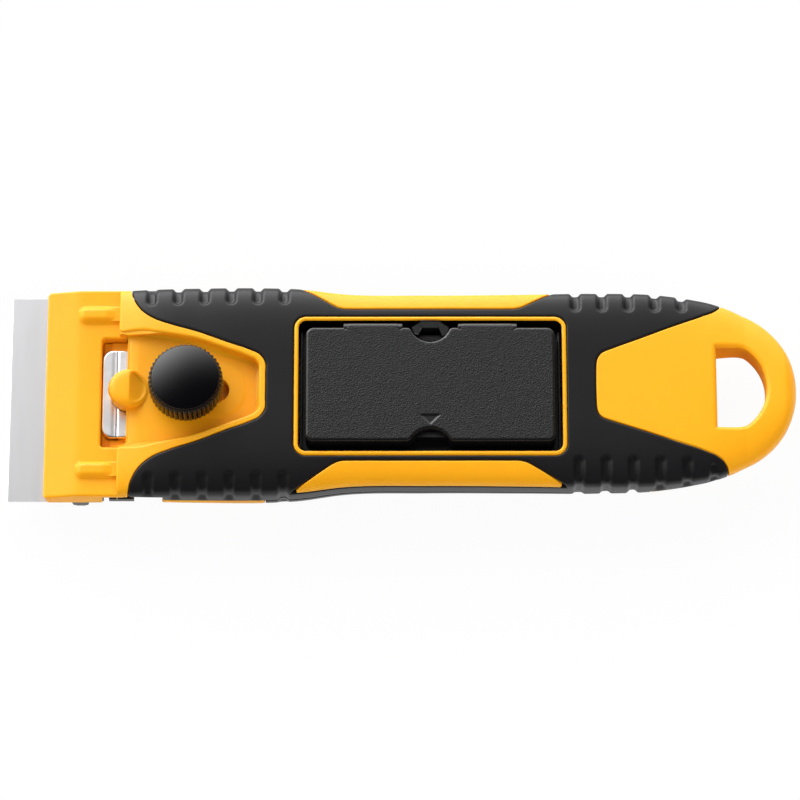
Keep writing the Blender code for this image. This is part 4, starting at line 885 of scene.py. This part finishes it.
LIP_WIDTH = 0.00085
LIP_ROUND_SHARE = 0.95
LIP_SINK_SHARE = 0.75
# Faces this close to the lip's inner side, and further in, get the painted shade
LIP_INNER_BAND = 0.00004
LIP_MIDDLE_CORNER = 0.00185
LIP_INNER_DEPTH = 0.0014
CASE_FLOOR = 0.0080


def rounded_path(centre, size, radius, corner_steps=14, side_steps=24):
    """Points round a rectangle with arcs at its corners, clockwise, and outward normals."""
    arcs = []
    for quarter, (across, up) in enumerate(((1, 1), (1, -1), (-1, -1), (-1, 1))):
        angle = (1 - quarter) * math.pi / 2 - np.linspace(0, math.pi / 2, corner_steps)
        out = np.column_stack((np.cos(angle), np.sin(angle)))
        corner = (centre[0] + across * (size[0] / 2 - radius), centre[1] + up * (size[1] / 2 - radius))
        arcs.append((np.array(corner) + radius * out, out))
    points, normals = [], []
    t = np.linspace(0, 1, side_steps)[1:-1, None]
    for (arc, out), (after, _) in zip(arcs, arcs[1:] + arcs[:1]):
        points += [arc, arc[-1] + t * (after[0] - arc[-1])]
        normals += [out, np.repeat(out[-1:], side_steps - 2, axis=0)]
    return np.concatenate(points), np.concatenate(normals)


def top_level(x, y):
    """Height of the handle's top over a plan point."""
    half, top, widest, _, power = handle_row(x)
    return widest + (top - widest) * np.clip(1 - np.abs(y / half) ** power, 0, 1) ** (1 / power)


middle, outward = rounded_path((CASE_X, 0), (LIP_OUTSIDE[0] - LIP_WIDTH, LIP_OUTSIDE[1] - LIP_WIDTH),
                               LIP_MIDDLE_CORNER)
level = top_level(middle[:, 0], middle[:, 1])
half = LIP_WIDTH / 2
profile = [(-half, None)] + [(-half * math.cos(a), half * LIP_ROUND_SHARE * math.sin(a))
                             for a in np.linspace(0, math.pi, 13)] + [(half, -LIP_INNER_DEPTH)]
rows = []
for across, rise in profile:
    plan = middle + across * outward
    z = np.full(len(plan), CASE_FLOOR) if rise is None else level - half * LIP_SINK_SHARE + rise
    rows.append(np.column_stack((plan, z)))
lip_grid = np.array(rows)
lip = make_object("case_lip", [grid_shell(np.concatenate((lip_grid, lip_grid[:, :1]), axis=1))],
                  yellow, "handle")
# The lip's inner wall is yellow shell. Its near-black colour is painted shade for the dark pocket under
# the lid.
pocket_painted_shade = plain_finish("pocket_wall_painted_shade", (0.0050, 0.0038, 0.0026), 0.45, 0.60, 0.00002, 0.2)
second_finish(lip, pocket_painted_shade, lambda p: in_lip(p) > LIP_WIDTH - LIP_INNER_BAND)


# Case lid
# The lid over the spare blades, injection moulded in black plastic with a leather grain. It has
# two hinge barrels at the far edge, a notch round the catch post and a finger notch.

LID_HALF = (0.0230, 0.01115)
LID_TOP = 0.0139
LID_BOTTOM = 0.0096
LID_EDGE = 0.00055
BARREL_RADIUS = 0.00095
BARREL_X = 0.01058
BARREL_LENGTH = 0.01095
# Middle and size across the tool, and corner, of a barrel's plan
BARREL_PLAN = (0.0090, 0.0062, 0.0002)
# Length of a barrel's rounded end, and how much its radius is less there and along it
BARREL_END = 0.00012
BARREL_LESS = (0.00013, 0.00001)
# Where the barrels' rounding and their wall start, from the lid's far edge, how deep inside
# their plan, and how much thinner their skin is than they are
BARREL_BANDS = (0.0006, 0.0001)
BARREL_INSIDE = 0.0002
BARREL_SKIN = 0.0001
HINGE_Z = 0.01295
POST_Y = 0.0121
FAR_NOTCH = 0.0037
FINGER_NOTCH = 0.0041
FINGER_DEPTH = 0.0024
ARROW_HALF = 0.0020
ARROW_LENGTH = 0.0020
ARROW_BACK = -0.0060
ARROW_DEPTH = 0.00016
ARROW_SIDE = 0.00015
LID_CORNER = 0.0014
LID_CELL = 0.00017
# How far under the top and past the far edge a face's centre may lie to have the grain
GRAIN_LIMITS = (0.00002, 0.0007)
LID_REACH = 0.0234
LID_SPAN = (-0.0115, 0.0124)

lid_box = rounded_box((CASE_X, 0), (2 * LID_HALF[0], 2 * LID_HALF[1]), LID_CORNER)


def in_barrels(points):
    """Distance inside the two hinge barrels' plan."""
    mirrored = np.stack((np.abs(points[..., 0] - CASE_X), points[..., 1]), -1)
    middle, width, corner = BARREL_PLAN
    return rounded_box((BARREL_X, middle), (BARREL_LENGTH, width), corner)(mirrored)


def lid_notches(points):
    """Distance outside the two notches."""
    x, y = points[..., 0] - CASE_X, points[..., 1]
    far = np.hypot(x, y - POST_Y) - FAR_NOTCH
    near = np.hypot(x, y + LID_HALF[1] + FINGER_NOTCH - FINGER_DEPTH) - FINGER_NOTCH
    return np.minimum(far, near)


def in_lid(points):
    return np.minimum(np.maximum(lid_box(points), in_barrels(points)), lid_notches(points))


def lid_edge(points):
    """Round as the barrels at the hinge side, small elsewhere."""
    barrel = (points[..., 1] > LID_HALF[1] - BARREL_BANDS[0]) & (in_barrels(points) > BARREL_INSIDE)
    return np.where(barrel, BARREL_RADIUS - BARREL_SKIN, LID_EDGE)


def in_arrow(u, v):
    """Distance inside the triangle behind the finger notch: the least over its three sides."""
    across, down = ARROW_HALF - np.abs(u - CASE_X), ARROW_BACK - v
    length = math.hypot(ARROW_HALF, ARROW_LENGTH)
    return np.minimum(down, (across * ARROW_LENGTH - down * ARROW_HALF) / length)


def lid_point(u, v):
    """The flat top with the triangle pressed in."""
    depth = np.clip(in_arrow(u, v) / ARROW_SIDE, 0, 1)
    return np.stack((u, v, LID_TOP - ARROW_DEPTH * depth), -1)


def lid_wall(points, normal, out):
    """Down to the lid's lower rim, but only a little way under the barrels."""
    level = np.where(points[:, 1] > LID_HALF[1] + BARREL_BANDS[1],
                     LID_TOP - BARREL_RADIUS - BARREL_SKIN, LID_BOTTOM)
    fall = np.column_stack((0 * level, 0 * level, level - points[:, 2]))
    return [points + fall * share for share in (0.5, 1.0)]


def barrel_shell(middle_x):
    """A round bar along X with slightly rounded ends."""
    half = BARREL_LENGTH / 2
    along = np.array((-half, -half, -half + BARREL_END, half - BARREL_END, half, half))
    end, middle = (BARREL_RADIUS - less for less in BARREL_LESS)
    size = np.array((0.0, end, middle, middle, end, 0.0))
    turn = np.linspace(0, -2 * math.pi, 49)
    a, t = np.meshgrid(along, turn, indexing="ij")
    r = np.repeat(size[:, None], len(turn), axis=1)
    points = np.stack((CASE_X + middle_x + a, LID_HALF[1] + r * np.sin(t), HINGE_Z + r * np.cos(t)), -1)
    return grid_shell(points)


def grained_finish():
    """Black plastic with a leather grain: rounded cells over a fine noise."""
    material, tree, shader, coordinates = finish("grained_black_plastic")
    leather = tree.nodes.new("ShaderNodeTexVoronoi")
    leather.inputs["Scale"].default_value = 4400
    leather.feature = "SMOOTH_F1"
    leather.inputs["Smoothness"].default_value = 0.5
    tree.links.new(coordinates.outputs["Object"], leather.inputs["Vector"])
    fine = noise(tree, coordinates, 4200, 3)
    two_tones(tree, fine.outputs["Fac"], (0.0055, 0.0055, 0.0060), (0.0140, 0.0140, 0.0152), shader)
    spread(tree, fine.outputs["Fac"], 0.32, 0.46, shader)
    shader.inputs["Specular IOR Level"].default_value = 0.36
    first = bump(tree, fine.outputs["Fac"], 0.00005, 0.5, shader)
    bump(tree, leather.outputs["Distance"], 0.00010, 0.6, shader, first)
    return material


def not_lid_top(centres):
    """The lid's rim, walls, barrels' ends and triangle, which have no grain."""
    under, past = GRAIN_LIMITS
    return (centres[:, 2] < LID_TOP - under) & (centres[:, 1] < LID_HALF[1] + past)


grained = grained_finish()
smooth_black = plain_finish("smooth_black_plastic", (0.0060, 0.0058, 0.0060), 0.26, 0.36, 0.00002)
lid = make_object("case_lid_skin", [
    skin(lid_point, np.arange(CASE_X - LID_REACH, CASE_X + LID_REACH, LID_CELL),
         np.arange(*LID_SPAN, LID_CELL), in_lid, lid_edge, lid_wall, 6),
    barrel_shell(BARREL_X), barrel_shell(-BARREL_X)], grained, "case_lid")
second_finish(lid, smooth_black, not_lid_top)
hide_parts("case_lid")


# Spare-blade tray and hinge post
# The black tray that fills the case, injection moulded. Low walls hold the spare blades, a rim
# stands along the lip on three sides, and a forked post at the far side carries the lid's hinge.
# The rim is painted shade: it stands close in front of the pocket's yellow walls, which lie in
# shade, so that they show black.

TRAY_BOTTOM = 0.0083
TRAY_FLOOR = 0.0093
TRAY_TOP = 0.0124
TRAY_HALF = (0.0240, 0.01245)
TRAY_WALL = (0.0217, 0.00985, 0.0010)
# The rim along the lip is painted shade: a black band close in front of the pocket's shaded yellow walls
TRAY_RIM = (0.0004, 0.0112)
TRAY_RIM_END = 0.0112
TRAY_OVERLAP = 0.0002
TRAY_BEVEL = 0.00012
POST_TOP = 0.0137
POST_OUTLINE = ((0.00175, 0.01240), (0.00330, 0.01105), (0.00300, 0.00990), (0.00230, 0.00960),
                (0.00175, 0.01095))


def boxes(ranges):
    """Points and outward faces of boxes given as ranges of x from the case's middle, y and z."""
    pairs = np.swapaxes(np.array(ranges, float), 1, 2) + (CASE_X, 0, 0)
    pick = np.array([[a, b, c] for a in (0, 1) for b in (0, 1) for c in (0, 1)])
    points = np.stack([pairs[:, pick[:, k], k] for k in range(3)], -1)
    sides = np.array(((0, 1, 3, 2), (4, 6, 7, 5), (0, 4, 5, 1), (2, 3, 7, 6), (0, 2, 6, 4), (1, 5, 7, 3)))
    quads = sides[None] + 8 * np.arange(len(pairs))[:, None, None]
    return points.reshape(-1, 3), quads.reshape(-1, 4), NO_TRIANGLES


def prism(plan, bottom, top):
    """Points and faces of an upright prism over half of a symmetric plan, mirrored in x."""
    near = np.array(plan)
    rows = [np.column_stack((CASE_X + side * near[:, 0], near[:, 1], np.full(len(near), level)))
            for level in (bottom, top) for side in (-1, 1)]
    low_left, low_right, high_left, high_right = (np.arange(len(near)) + k * len(near) for k in range(4))
    roll = lambda row: np.roll(row, -1)
    last = len(near) - 1
    quads = [np.stack((high_right, low_right, roll(low_right), roll(high_right)), -1)[:last],
             np.stack((low_left, high_left, roll(high_left), roll(low_left)), -1)[:last],
             [(high_left[0], low_left[0], low_right[0], high_right[0]),
              (high_right[last], low_right[last], low_left[last], high_left[last]),
              (high_left[0], high_right[0], high_right[last], high_left[last]),
              (low_right[0], low_left[0], low_left[last], low_right[last])]]
    caps = []
    for k in range(1, last):
        caps += [(high_right[0], high_right[k + 1], high_right[k]),
                 (high_left[0], high_left[k], high_left[k + 1]),
                 (low_right[0], low_right[k], low_right[k + 1]),
                 (low_left[0], low_left[k + 1], low_left[k])]
    return np.concatenate(rows), np.concatenate(quads), np.array(caps)


long, wide = TRAY_HALF
x_out, y_out, wall = TRAY_WALL
rim, rim_top = TRAY_RIM
low = TRAY_FLOOR - TRAY_OVERLAP
tray = make_object("blade_tray", [boxes([
    ((-long, long), (-wide, wide), (TRAY_BOTTOM, TRAY_FLOOR)),
    ((-x_out, x_out), (-y_out, -y_out + wall), (low, TRAY_TOP)),
    ((-x_out, x_out), (y_out - wall, y_out), (low, TRAY_TOP)),
    ((-x_out, -x_out + wall), (-y_out, y_out), (low, TRAY_TOP)),
    ((x_out - wall, x_out), (-y_out, y_out), (low, TRAY_TOP)),
    ((-long, long), (-wide, -wide + rim), (low, rim_top)),
    ((-long, -long + rim), (-wide, TRAY_RIM_END), (low, rim_top)),
    ((long - rim, long), (-wide, TRAY_RIM_END), (low, rim_top)),
]), prism(POST_OUTLINE, low, POST_TOP)], smooth_black, "handle", weld=1e-7, sharp=30)
bevel = tray.modifiers.new("soft_edges", "BEVEL")
bevel.width = TRAY_BEVEL
bevel.segments = 2
bevel.limit_method = "ANGLE"
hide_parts("case_tray")


# Clamp knob
# A knurled black plastic knob with a glossy domed cap. It screws down on the clamp bolt.

KNOB_RADIUS = 0.0069
KNOB_BASE = 0.0121
KNOB_TOP = 0.0167
TEETH = 46
TOOTH_DEPTH = 0.00048
TOOTH_POWER = 0.8
CAP_RADIUS = 0.00625
CAP_RIM = 0.00022
CAP_EDGE = 0.0003
CAP_SPHERE = 0.0205
CAP_TURNS = (0.2, 1.25)


def turned(radii, heights, turn):
    """Grid of points round the clamp's axis, with a row of radii for each height."""
    z = np.repeat(heights[:, None], len(turn), axis=1)
    return np.stack((CLAMP_X + radii * np.cos(turn), radii * np.sin(turn), z), -1)


def knob_body():
    """Outer wall and rims of the knob: a profile turned round, with rounded teeth pressed in.

    The radius at each turn is the profile's, less the tooth depth times a rounded wave, and the
    wave fades out towards the two rims.
    """
    profile = np.array((  # radius, height, share of the tooth depth
        (0.00130, KNOB_BASE + 0.0004, 0), (0.00560, KNOB_BASE + 0.0004, 0), (0.00600, KNOB_BASE, 0),
        (0.00645, KNOB_BASE, 0), (0.00672, KNOB_BASE + 0.00010, 0.3), (0.00685, KNOB_BASE + 0.0003, 0.8),
        (KNOB_RADIUS, KNOB_BASE + 0.0006, 1), (KNOB_RADIUS, KNOB_TOP - 0.0009, 1),
        (0.00688, KNOB_TOP - 0.0006, 1), (0.00680, KNOB_TOP - 0.00035, 0.9),
        (0.00664, KNOB_TOP - 0.00012, 0.6), (0.00648, KNOB_TOP, 0.2), (0.00620, KNOB_TOP, 0),
        (0.00590, KNOB_TOP - 0.0002, 0)))
    turn = np.linspace(0, 2 * math.pi, TEETH * 12 + 1)
    wave = np.abs(np.sin(TEETH * turn / 2)) ** TOOTH_POWER
    return turned(profile[:, :1] - TOOTH_DEPTH * profile[:, 2:] * (1 - wave), profile[:, 1], turn)


def cap_body():
    """The cap: a short rounded rim and a dome that is part of a sphere."""
    rim = [(CAP_RADIUS, KNOB_TOP - CAP_EDGE), (CAP_RADIUS, KNOB_TOP + CAP_RIM)]
    rim += [(CAP_RADIUS - CAP_EDGE * (1 - math.cos(a)), KNOB_TOP + CAP_RIM + CAP_EDGE * math.sin(a))
            for a in np.linspace(*CAP_TURNS, 5)]
    edge, start = rim[-1]
    fall = math.sqrt(CAP_SPHERE ** 2 - edge ** 2)
    radii = edge * np.cos(np.linspace(0, math.pi / 2, 20))[1:]
    rim += [(r, start + math.sqrt(CAP_SPHERE ** 2 - r ** 2) - fall) for r in radii]
    profile = np.array(rim)
    return turned(profile[:, :1], profile[:, 1], np.linspace(0, 2 * math.pi, 129))


# The knob is black plastic. The warm brown tint in its colour is a painted reflection of the yellow recess
# floor.
knurled = plain_finish("knurled_black_plastic_painted_reflection", (0.0160, 0.0110, 0.0066), 0.20, 0.30, 0.00002)
glossy = plain_finish("glossy_black_plastic", (0.0012, 0.0012, 0.0018), 0.18, 0.23, 0.000004)
knob = make_object("knurled_knob", [grid_shell(knob_body(), True)], knurled, "knob")
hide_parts("knob")
cap = make_object("knob_dome", [grid_shell(cap_body(), True)], glossy, "knob")
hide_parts("knob_cap")


# Finishes of the CAD nodes left showing
# Blades are hardened steel with a ground edge, screws and washers are zinc plated, and the tray
# and the backing plate are the lid's plastic without its grain.

def steel_finish(name, colour, low, high, stretch):
    """Bare or plated steel, with fine lines where the noise is stretched."""
    material, tree, shader, coordinates = finish(name)
    mapping = tree.nodes.new("ShaderNodeMapping")
    mapping.inputs["Scale"].default_value = stretch
    tree.links.new(coordinates.outputs["Object"], mapping.inputs["Vector"])
    lines = tree.nodes.new("ShaderNodeTexNoise")
    lines.inputs["Scale"].default_value = 1.0
    lines.inputs["Detail"].default_value = 4
    tree.links.new(mapping.outputs["Vector"], lines.inputs["Vector"])
    two_tones(tree, lines.outputs["Fac"], colour, tuple(1.03 * c for c in colour), shader)
    spread(tree, lines.outputs["Fac"], low, high, shader)
    shader.inputs["Metallic"].default_value = 1.0
    bump(tree, lines.outputs["Fac"], 0.00001, 0.05, shader)
    return material


blade_steel = steel_finish("blade_steel", (0.89, 0.89, 0.905), 0.29, 0.33, (5000, 120, 900))
zinc = steel_finish("zinc_plated_steel", (0.93, 0.93, 0.94), 0.32, 0.38, (1500, 1500, 1500))


# Blade
# A 40 mm hardened steel scraper blade, ground to its edge from the top.

BLADE_EDGE = -0.0736
BLADE_BACK = -0.05575
BLADE_HALF = 0.0200
BLADE_TOP = 0.0051
BLADE_THICKNESS = 0.0003
GROUND_LENGTH = 0.0008
# Depth of the edge below the blade's top, and depth and length of the last of the grind
EDGE_DEPTH = 0.00024
GRIND_END = (0.00001, 0.0002)


def bar_across(profile, half):
    """A convex bar: a closed side profile in x and z drawn out along y, with flat ends."""
    side = np.array(profile)
    count = len(side)
    ends = [np.column_stack((side[:, 0], np.full(count, y), side[:, 1])) for y in (-half, half)]
    near = np.arange(count)
    after = np.roll(near, -1)
    quads = np.stack((near, after, after + count, near + count), -1)
    fan = np.stack((np.zeros(count - 2, int), near[1:-1], near[2:]), -1)
    return np.concatenate(ends), quads, np.concatenate((fan[:, ::-1], fan + count))


blade = make_object("scraper_blade", [bar_across([
    (BLADE_EDGE, BLADE_TOP - BLADE_THICKNESS), (BLADE_EDGE, BLADE_TOP - EDGE_DEPTH),
    (BLADE_EDGE + GROUND_LENGTH, BLADE_TOP - GRIND_END[0]),
    (BLADE_EDGE + GROUND_LENGTH + GRIND_END[1], BLADE_TOP),
    (BLADE_BACK, BLADE_TOP), (BLADE_BACK, BLADE_TOP - BLADE_THICKNESS)], BLADE_HALF)],
    blade_steel, "slider", weld=1e-7, sharp=8)
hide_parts("blade")


# Cross rib of the backing plate
# The black plate under the blade is stiffened by a rib across it, which shows below the head.

PLATE_RIB_HALF = 0.0194
PLATE_RIB = ((-0.0578, 0.0036), (-0.0581, 0.0016), (-0.0588, 0.0011), (-0.0602, 0.0011),
             (-0.0609, 0.0016), (-0.0612, 0.0036))

make_object("backing_plate_rib", [bar_across(PLATE_RIB, PLATE_RIB_HALF)], smooth_black, "slider",
            weld=1e-7, sharp=30)


# Slider's front lip
# A thin lip of the slider that closes the gap behind the blade, seen at the window's front.

SLIDER_LIP_HALF = 0.0102
SLIDER_LIP = ((-0.05570, 0.0055), (-0.05570, 0.0066), (-0.05500, 0.0066), (-0.05500, 0.0055))

make_object("slider_front_lip", [bar_across(SLIDER_LIP, SLIDER_LIP_HALF)], yellow, "slider",
            weld=1e-7, sharp=30)


# Stop bar
# The round-ended steel bar behind the blade, stamped from sheet, with a groove along it. Its
# back half goes under the plate.

BAR_X = -0.05265
BAR_SIZE = (0.0059, 0.0172)
BAR_CORNER = 0.0021
BAR_TOP = 0.0083
BAR_BOTTOM = 0.0072
BAR_EDGE = 0.00028
# Half size and cell of its grid, along the tool and across it
BAR_REACH = (0.0032, 0.0088)
BAR_CELLS = (0.0001, 0.0002)
BAR_GROOVE_X = -0.05275
# Depth and half width of the groove and of the trough, and how far ahead the trough lies
BAR_GROOVE = (0.00009, 0.00017)
BAR_TROUGH = (0.00005, 0.00040, 0.00055)


def bar_point(u, v):
    """The bar's flat top with a narrow groove and a shallow trough beside it."""
    groove = BAR_GROOVE[0] * np.exp(-((u - BAR_GROOVE_X) / BAR_GROOVE[1]) ** 2)
    trough = BAR_TROUGH[0] * np.exp(-((u - BAR_GROOVE_X + BAR_TROUGH[2]) / BAR_TROUGH[1]) ** 2)
    return np.stack((u, v, BAR_TOP - groove - trough), -1)


stop_bar = make_object("steel_stop_bar", [skin(
    bar_point, np.arange(BAR_X - BAR_REACH[0], BAR_X + BAR_REACH[0], BAR_CELLS[0]),
    np.arange(-BAR_REACH[1], BAR_REACH[1], BAR_CELLS[1]), rounded_box((BAR_X, 0), BAR_SIZE, BAR_CORNER),
    BAR_EDGE, down_to(BAR_BOTTOM), 5)], zinc, "slider")
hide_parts("blade_stop_bar")


# Lower shell and lower grip
# The back half of the handle: a yellow shell with a soft black grip set flush in it. Four screws
# hold it to the upper shell from underneath.

LOWER_CELL = 0.00035
# How far the grid goes past the widest level, and past the shell's ends
LOWER_MARGINS = (0.0022, 0.0006)
LOWER_FRONT = -0.0443
LOWER_GRIP_SPAN = (-0.0278, 0.0740)
LOWER_GRIP_SHARES = ((0.036, 1.100), (0.030, 0.720), (0.060, 0.560), (0.200, 0.250), (0.215, 0.120),
                     (0.215, -0.120), (0.200, -0.250), (0.060, -0.560), (0.030, -0.720),
                     (0.036, -1.100), (1.000, -1.100), (0.985, -0.640), (0.880, -0.260),
                     (0.868, -0.120), (0.868, 0.120), (0.880, 0.260), (0.985, 0.640), (1.000, 1.100))
SCREWS = ((-0.02435, 0.01411), (0.03735, 0.01227))
SCREW_HOLE = 0.0027
LOWER_GRIP_EDGE = 0.00016
LOWER_GRIP_WALL = 0.0014
LOWER_SHELL_WALL = 0.0010
CORE_INSET = 0.00025
CORE_WELD = 2e-6
LEAST_COSINE = 0.5

in_lower_plan = within([(LOWER_GRIP_SPAN[0] + a * LOWER_GRIP_SPAN[1], b * HALF_WIDTH)
                        for a, b in LOWER_GRIP_SHARES])


def under_point(u, w):
    """The handle's form again, with w counted from the middle of the underside."""
    return handle_point(u, np.where(w < 0, RIM_END + w, w - RIM_END))


def under_grip_point(u, w):
    """The same form with the finger grooves carried on across the parting."""
    plain = under_point(u, w)
    _, _, normal = slopes_of(under_point, u, w)
    return plain - normal * groove_depth(plain)[..., None]


def below_parting(points):
    """Distance below the parting and clear of the four screw holes."""
    x, y, z = points[..., 0], np.abs(points[..., 1]), points[..., 2]
    holes = [np.hypot(x - place, y - across) - SCREW_HOLE for place, across in SCREWS]
    return np.minimum(PARTING - z - SEAM, np.min(holes, axis=0))


def in_lower_grip(points):
    return np.minimum(below_parting(points), in_lower_plan(points) - SEAM)


def in_lower_shell(points):
    ends = np.minimum(points[..., 0] - LOWER_FRONT, LOWER_SHELL_BACK - points[..., 0]) - SEAM
    return np.minimum(np.minimum(below_parting(points), ends), -in_lower_plan(points) - SEAM)


under_reach = RIM_END - RIM_SIDE + LOWER_MARGINS[0]
under_us = np.arange(LOWER_FRONT - LOWER_MARGINS[1], LOWER_SHELL_BACK + LOWER_MARGINS[1], LOWER_CELL)
under_ws = np.arange(-under_reach, under_reach, LOWER_CELL)
lower_grip = make_object("soft_lower_grip", [skin(
    under_grip_point, under_us, under_ws, in_lower_grip, LOWER_GRIP_EDGE, drop(LOWER_GRIP_WALL), 3)],
    rubber, "handle")
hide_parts("lower_grip")
lower_shell = make_object("yellow_lower_shell", [skin(
    under_point, under_us, under_ws, in_lower_shell, SHELL_EDGE, drop(LOWER_SHELL_WALL), 4)],
    yellow, "handle")


def core(name, node):
    """A copy of a packed shell, merged and drawn in a quarter of a millimetre along its normals.

    Each corner moves against its mean normal, by the inset over the least cosine between that
    normal and its faces, so that every face moves by about the inset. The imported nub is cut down
    to the recess floor, because the thumb nub's own piece is hollowed.
    """
    source = bpy.data.objects[node]
    mesh = source.data.copy()
    piece = bpy.data.objects.new(name, mesh)
    shape = bmesh.new()
    shape.from_mesh(mesh)
    shape.transform(source.matrix_world)
    bmesh.ops.remove_doubles(shape, verts=shape.verts, dist=CORE_WELD)
    shape.to_mesh(mesh)
    shape.free()
    points, means = read(mesh.vertices, "co", 3), read(mesh.vertices, "normal", 3)
    corners = read(mesh.loops, "vertex_index", 1, np.int32)
    sizes = read(mesh.polygons, "loop_total", 1, np.int32)
    owner = np.repeat(read(mesh.polygons, "normal", 3), sizes, axis=0)
    least = np.ones(len(points))
    np.minimum.at(least, corners, (means[corners] * owner).sum(1))
    moved = points - means * (CORE_INSET / np.clip(least, LEAST_COSINE, 1))[:, None]
    in_nub = np.hypot(moved[:, 0] - NUB_X, moved[:, 1]) < NUB_RADIUS
    moved[in_nub, 2] = np.minimum(moved[in_nub, 2], RECESS_FLOOR - CORE_INSET)
    mesh.vertices.foreach_set("co", moved.ravel())
    mesh.materials.clear()
    mesh.materials.append(yellow)
    mesh.update()
    bpy.context.scene.collection.objects.link(piece)
    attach(piece, "handle")


core("upper_shell_core", "upper_shell")
core("lower_shell_core", "lower_shell")
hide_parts("lower_shell")

CAD_FINISHES = {
    "spare_blade_1": blade_steel, "spare_blade_2": blade_steel, "spare_blade_3": blade_steel,
    "clamp_bolt": zinc, "knob_washer": zinc, "spring_washer": zinc, "knob_insert": zinc,
    "shell_screw_1": zinc, "shell_screw_2": zinc, "shell_screw_3": zinc, "shell_screw_4": zinc,
    "backing_plate": smooth_black, "blade_slider": yellow}
for node, material in CAD_FINISHES.items():
    shown = bpy.data.objects[node]
    if not shown.data.materials:
        shown.data.materials.append(material)
    for holder in shown.material_slots:
        holder.material = material


# Table, lamps and camera
# A white table that glows for the camera, two soft lights in the sky, two hidden lamps, and a
# long lens twenty degrees off the top view.

TABLE_HALF = 3
TABLE_LEVEL = -0.0002
TABLE_GLOW = 0.95


def calculate(tree, operation, one, other):
    """The result of a sum on one socket and either another socket or a number."""
    node = tree.nodes.new("ShaderNodeMath")
    node.operation = operation
    tree.links.new(one, node.inputs[0])
    if isinstance(other, bpy.types.NodeSocket):
        tree.links.new(other, node.inputs[1])
    else:
        node.inputs[1].default_value = other
    return node.outputs[0]


def table_finish():
    """A matt white that the camera sees as an even glow, so that only the light on it is soft."""
    material, tree, shader, coordinates = finish("white_table")
    fibre = noise(tree, coordinates, 40, 3)
    two_tones(tree, fibre.outputs["Fac"], (0.80, 0.80, 0.80), (0.82, 0.82, 0.82), shader)
    shader.inputs["Roughness"].default_value = 0.9
    shader.inputs["Specular IOR Level"].default_value = 0.1
    glow = tree.nodes.new("ShaderNodeEmission")
    glow.inputs["Strength"].default_value = 1.0
    path = tree.nodes.new("ShaderNodeLightPath")
    seen = path.outputs["Is Camera Ray"]
    for kind in ("Is Transmission Ray", "Is Glossy Ray"):
        seen = calculate(tree, "MAXIMUM", seen, path.outputs[kind])
    mix = tree.nodes.new("ShaderNodeMixShader")
    tree.links.new(calculate(tree, "MULTIPLY", seen, TABLE_GLOW), mix.inputs[0])
    tree.links.new(shader.outputs[0], mix.inputs[1])
    tree.links.new(glow.outputs[0], mix.inputs[2])
    tree.links.new(mix.outputs[0], tree.nodes["Material Output"].inputs["Surface"])
    return material


table_mesh = bpy.data.meshes.new("table")
table_mesh.from_pydata([(x * TABLE_HALF, y * TABLE_HALF, TABLE_LEVEL)
                        for x, y in ((-1, -1), (1, -1), (1, 1), (-1, 1))], [], [(0, 1, 2, 3)])
table_mesh.materials.append(table_finish())
table = bpy.data.objects.new("table", table_mesh)
bpy.context.scene.collection.objects.link(table)

# Direction, power of the cosine, and strength of each soft light
SOFT_LIGHTS = (((-0.600, 0.700, 0.387), 8.0, 6.6), ((0.000, 0.980, 0.200), 6.0, 4.4))
EVEN_LIGHT = 0.03


def studio_light():
    """Two large soft lights in the sky, each a power of the cosine to its direction."""
    world = bpy.data.worlds.new("studio")
    bpy.context.scene.world = world
    world.use_nodes = True
    tree = world.node_tree
    place = tree.nodes.new("ShaderNodeTexCoord")
    total = EVEN_LIGHT
    for direction, power, strength in SOFT_LIGHTS:
        turn = tree.nodes.new("ShaderNodeVectorMath")
        turn.operation = "DOT_PRODUCT"
        turn.inputs[1].default_value = direction
        tree.links.new(place.outputs["Generated"], turn.inputs[0])
        value = turn.outputs["Value"]
        for operation, amount in (("MAXIMUM", 0.0), ("POWER", power), ("MULTIPLY", strength),
                                  ("ADD", total)):
            value = calculate(tree, operation, value, amount)
        total = value
    background = tree.nodes["Background"]
    background.inputs["Color"].default_value = (1, 1, 1, 1)
    tree.links.new(total, background.inputs["Strength"])


LAMP_SIZE = 0.7
# Name, place and power of each hidden lamp
FILL_LAMPS = (("right_fill_lamp", (0.45, -0.45, 0.50), 4.2),
              ("left_fill_lamp", (-0.60, -0.25, 0.36), 1.7))


def fill_lamp(name, place, power):
    """A large lamp beside the tool, hidden from reflections like a bounced flash."""
    lamp = bpy.data.lights.new(name, "AREA")
    lamp.shape = "SQUARE"
    lamp.size = LAMP_SIZE
    lamp.energy = power
    holder = bpy.data.objects.new(name, lamp)
    bpy.context.scene.collection.objects.link(holder)
    holder.location = place
    holder.rotation_euler = (-Vector(place)).to_track_quat("-Z", "Y").to_euler()
    holder.visible_glossy = False


studio_light()
for name, place, power in FILL_LAMPS:
    fill_lamp(name, place, power)

CAMERA_AIM = Vector((-0.000435, -0.002917, 0.0130))
CAMERA_RISE = math.radians(70)
CAMERA_DISTANCE = 0.850
CAMERA_LENS = 207.8

camera_data = bpy.data.cameras.new("camera")
camera_data.sensor_width = 36
camera_data.lens = CAMERA_LENS
camera_data.clip_start = 0.01
camera = bpy.data.objects.new("camera", camera_data)
bpy.context.scene.collection.objects.link(camera)
camera.location = CAMERA_AIM + CAMERA_DISTANCE * Vector((0, -math.cos(CAMERA_RISE), math.sin(CAMERA_RISE)))
camera.rotation_euler = (math.pi / 2 - CAMERA_RISE, 0, 0)
bpy.context.scene.camera = camera
bpy.context.scene.view_settings.view_transform = "Standard"

bpy.context.view_layer.update()
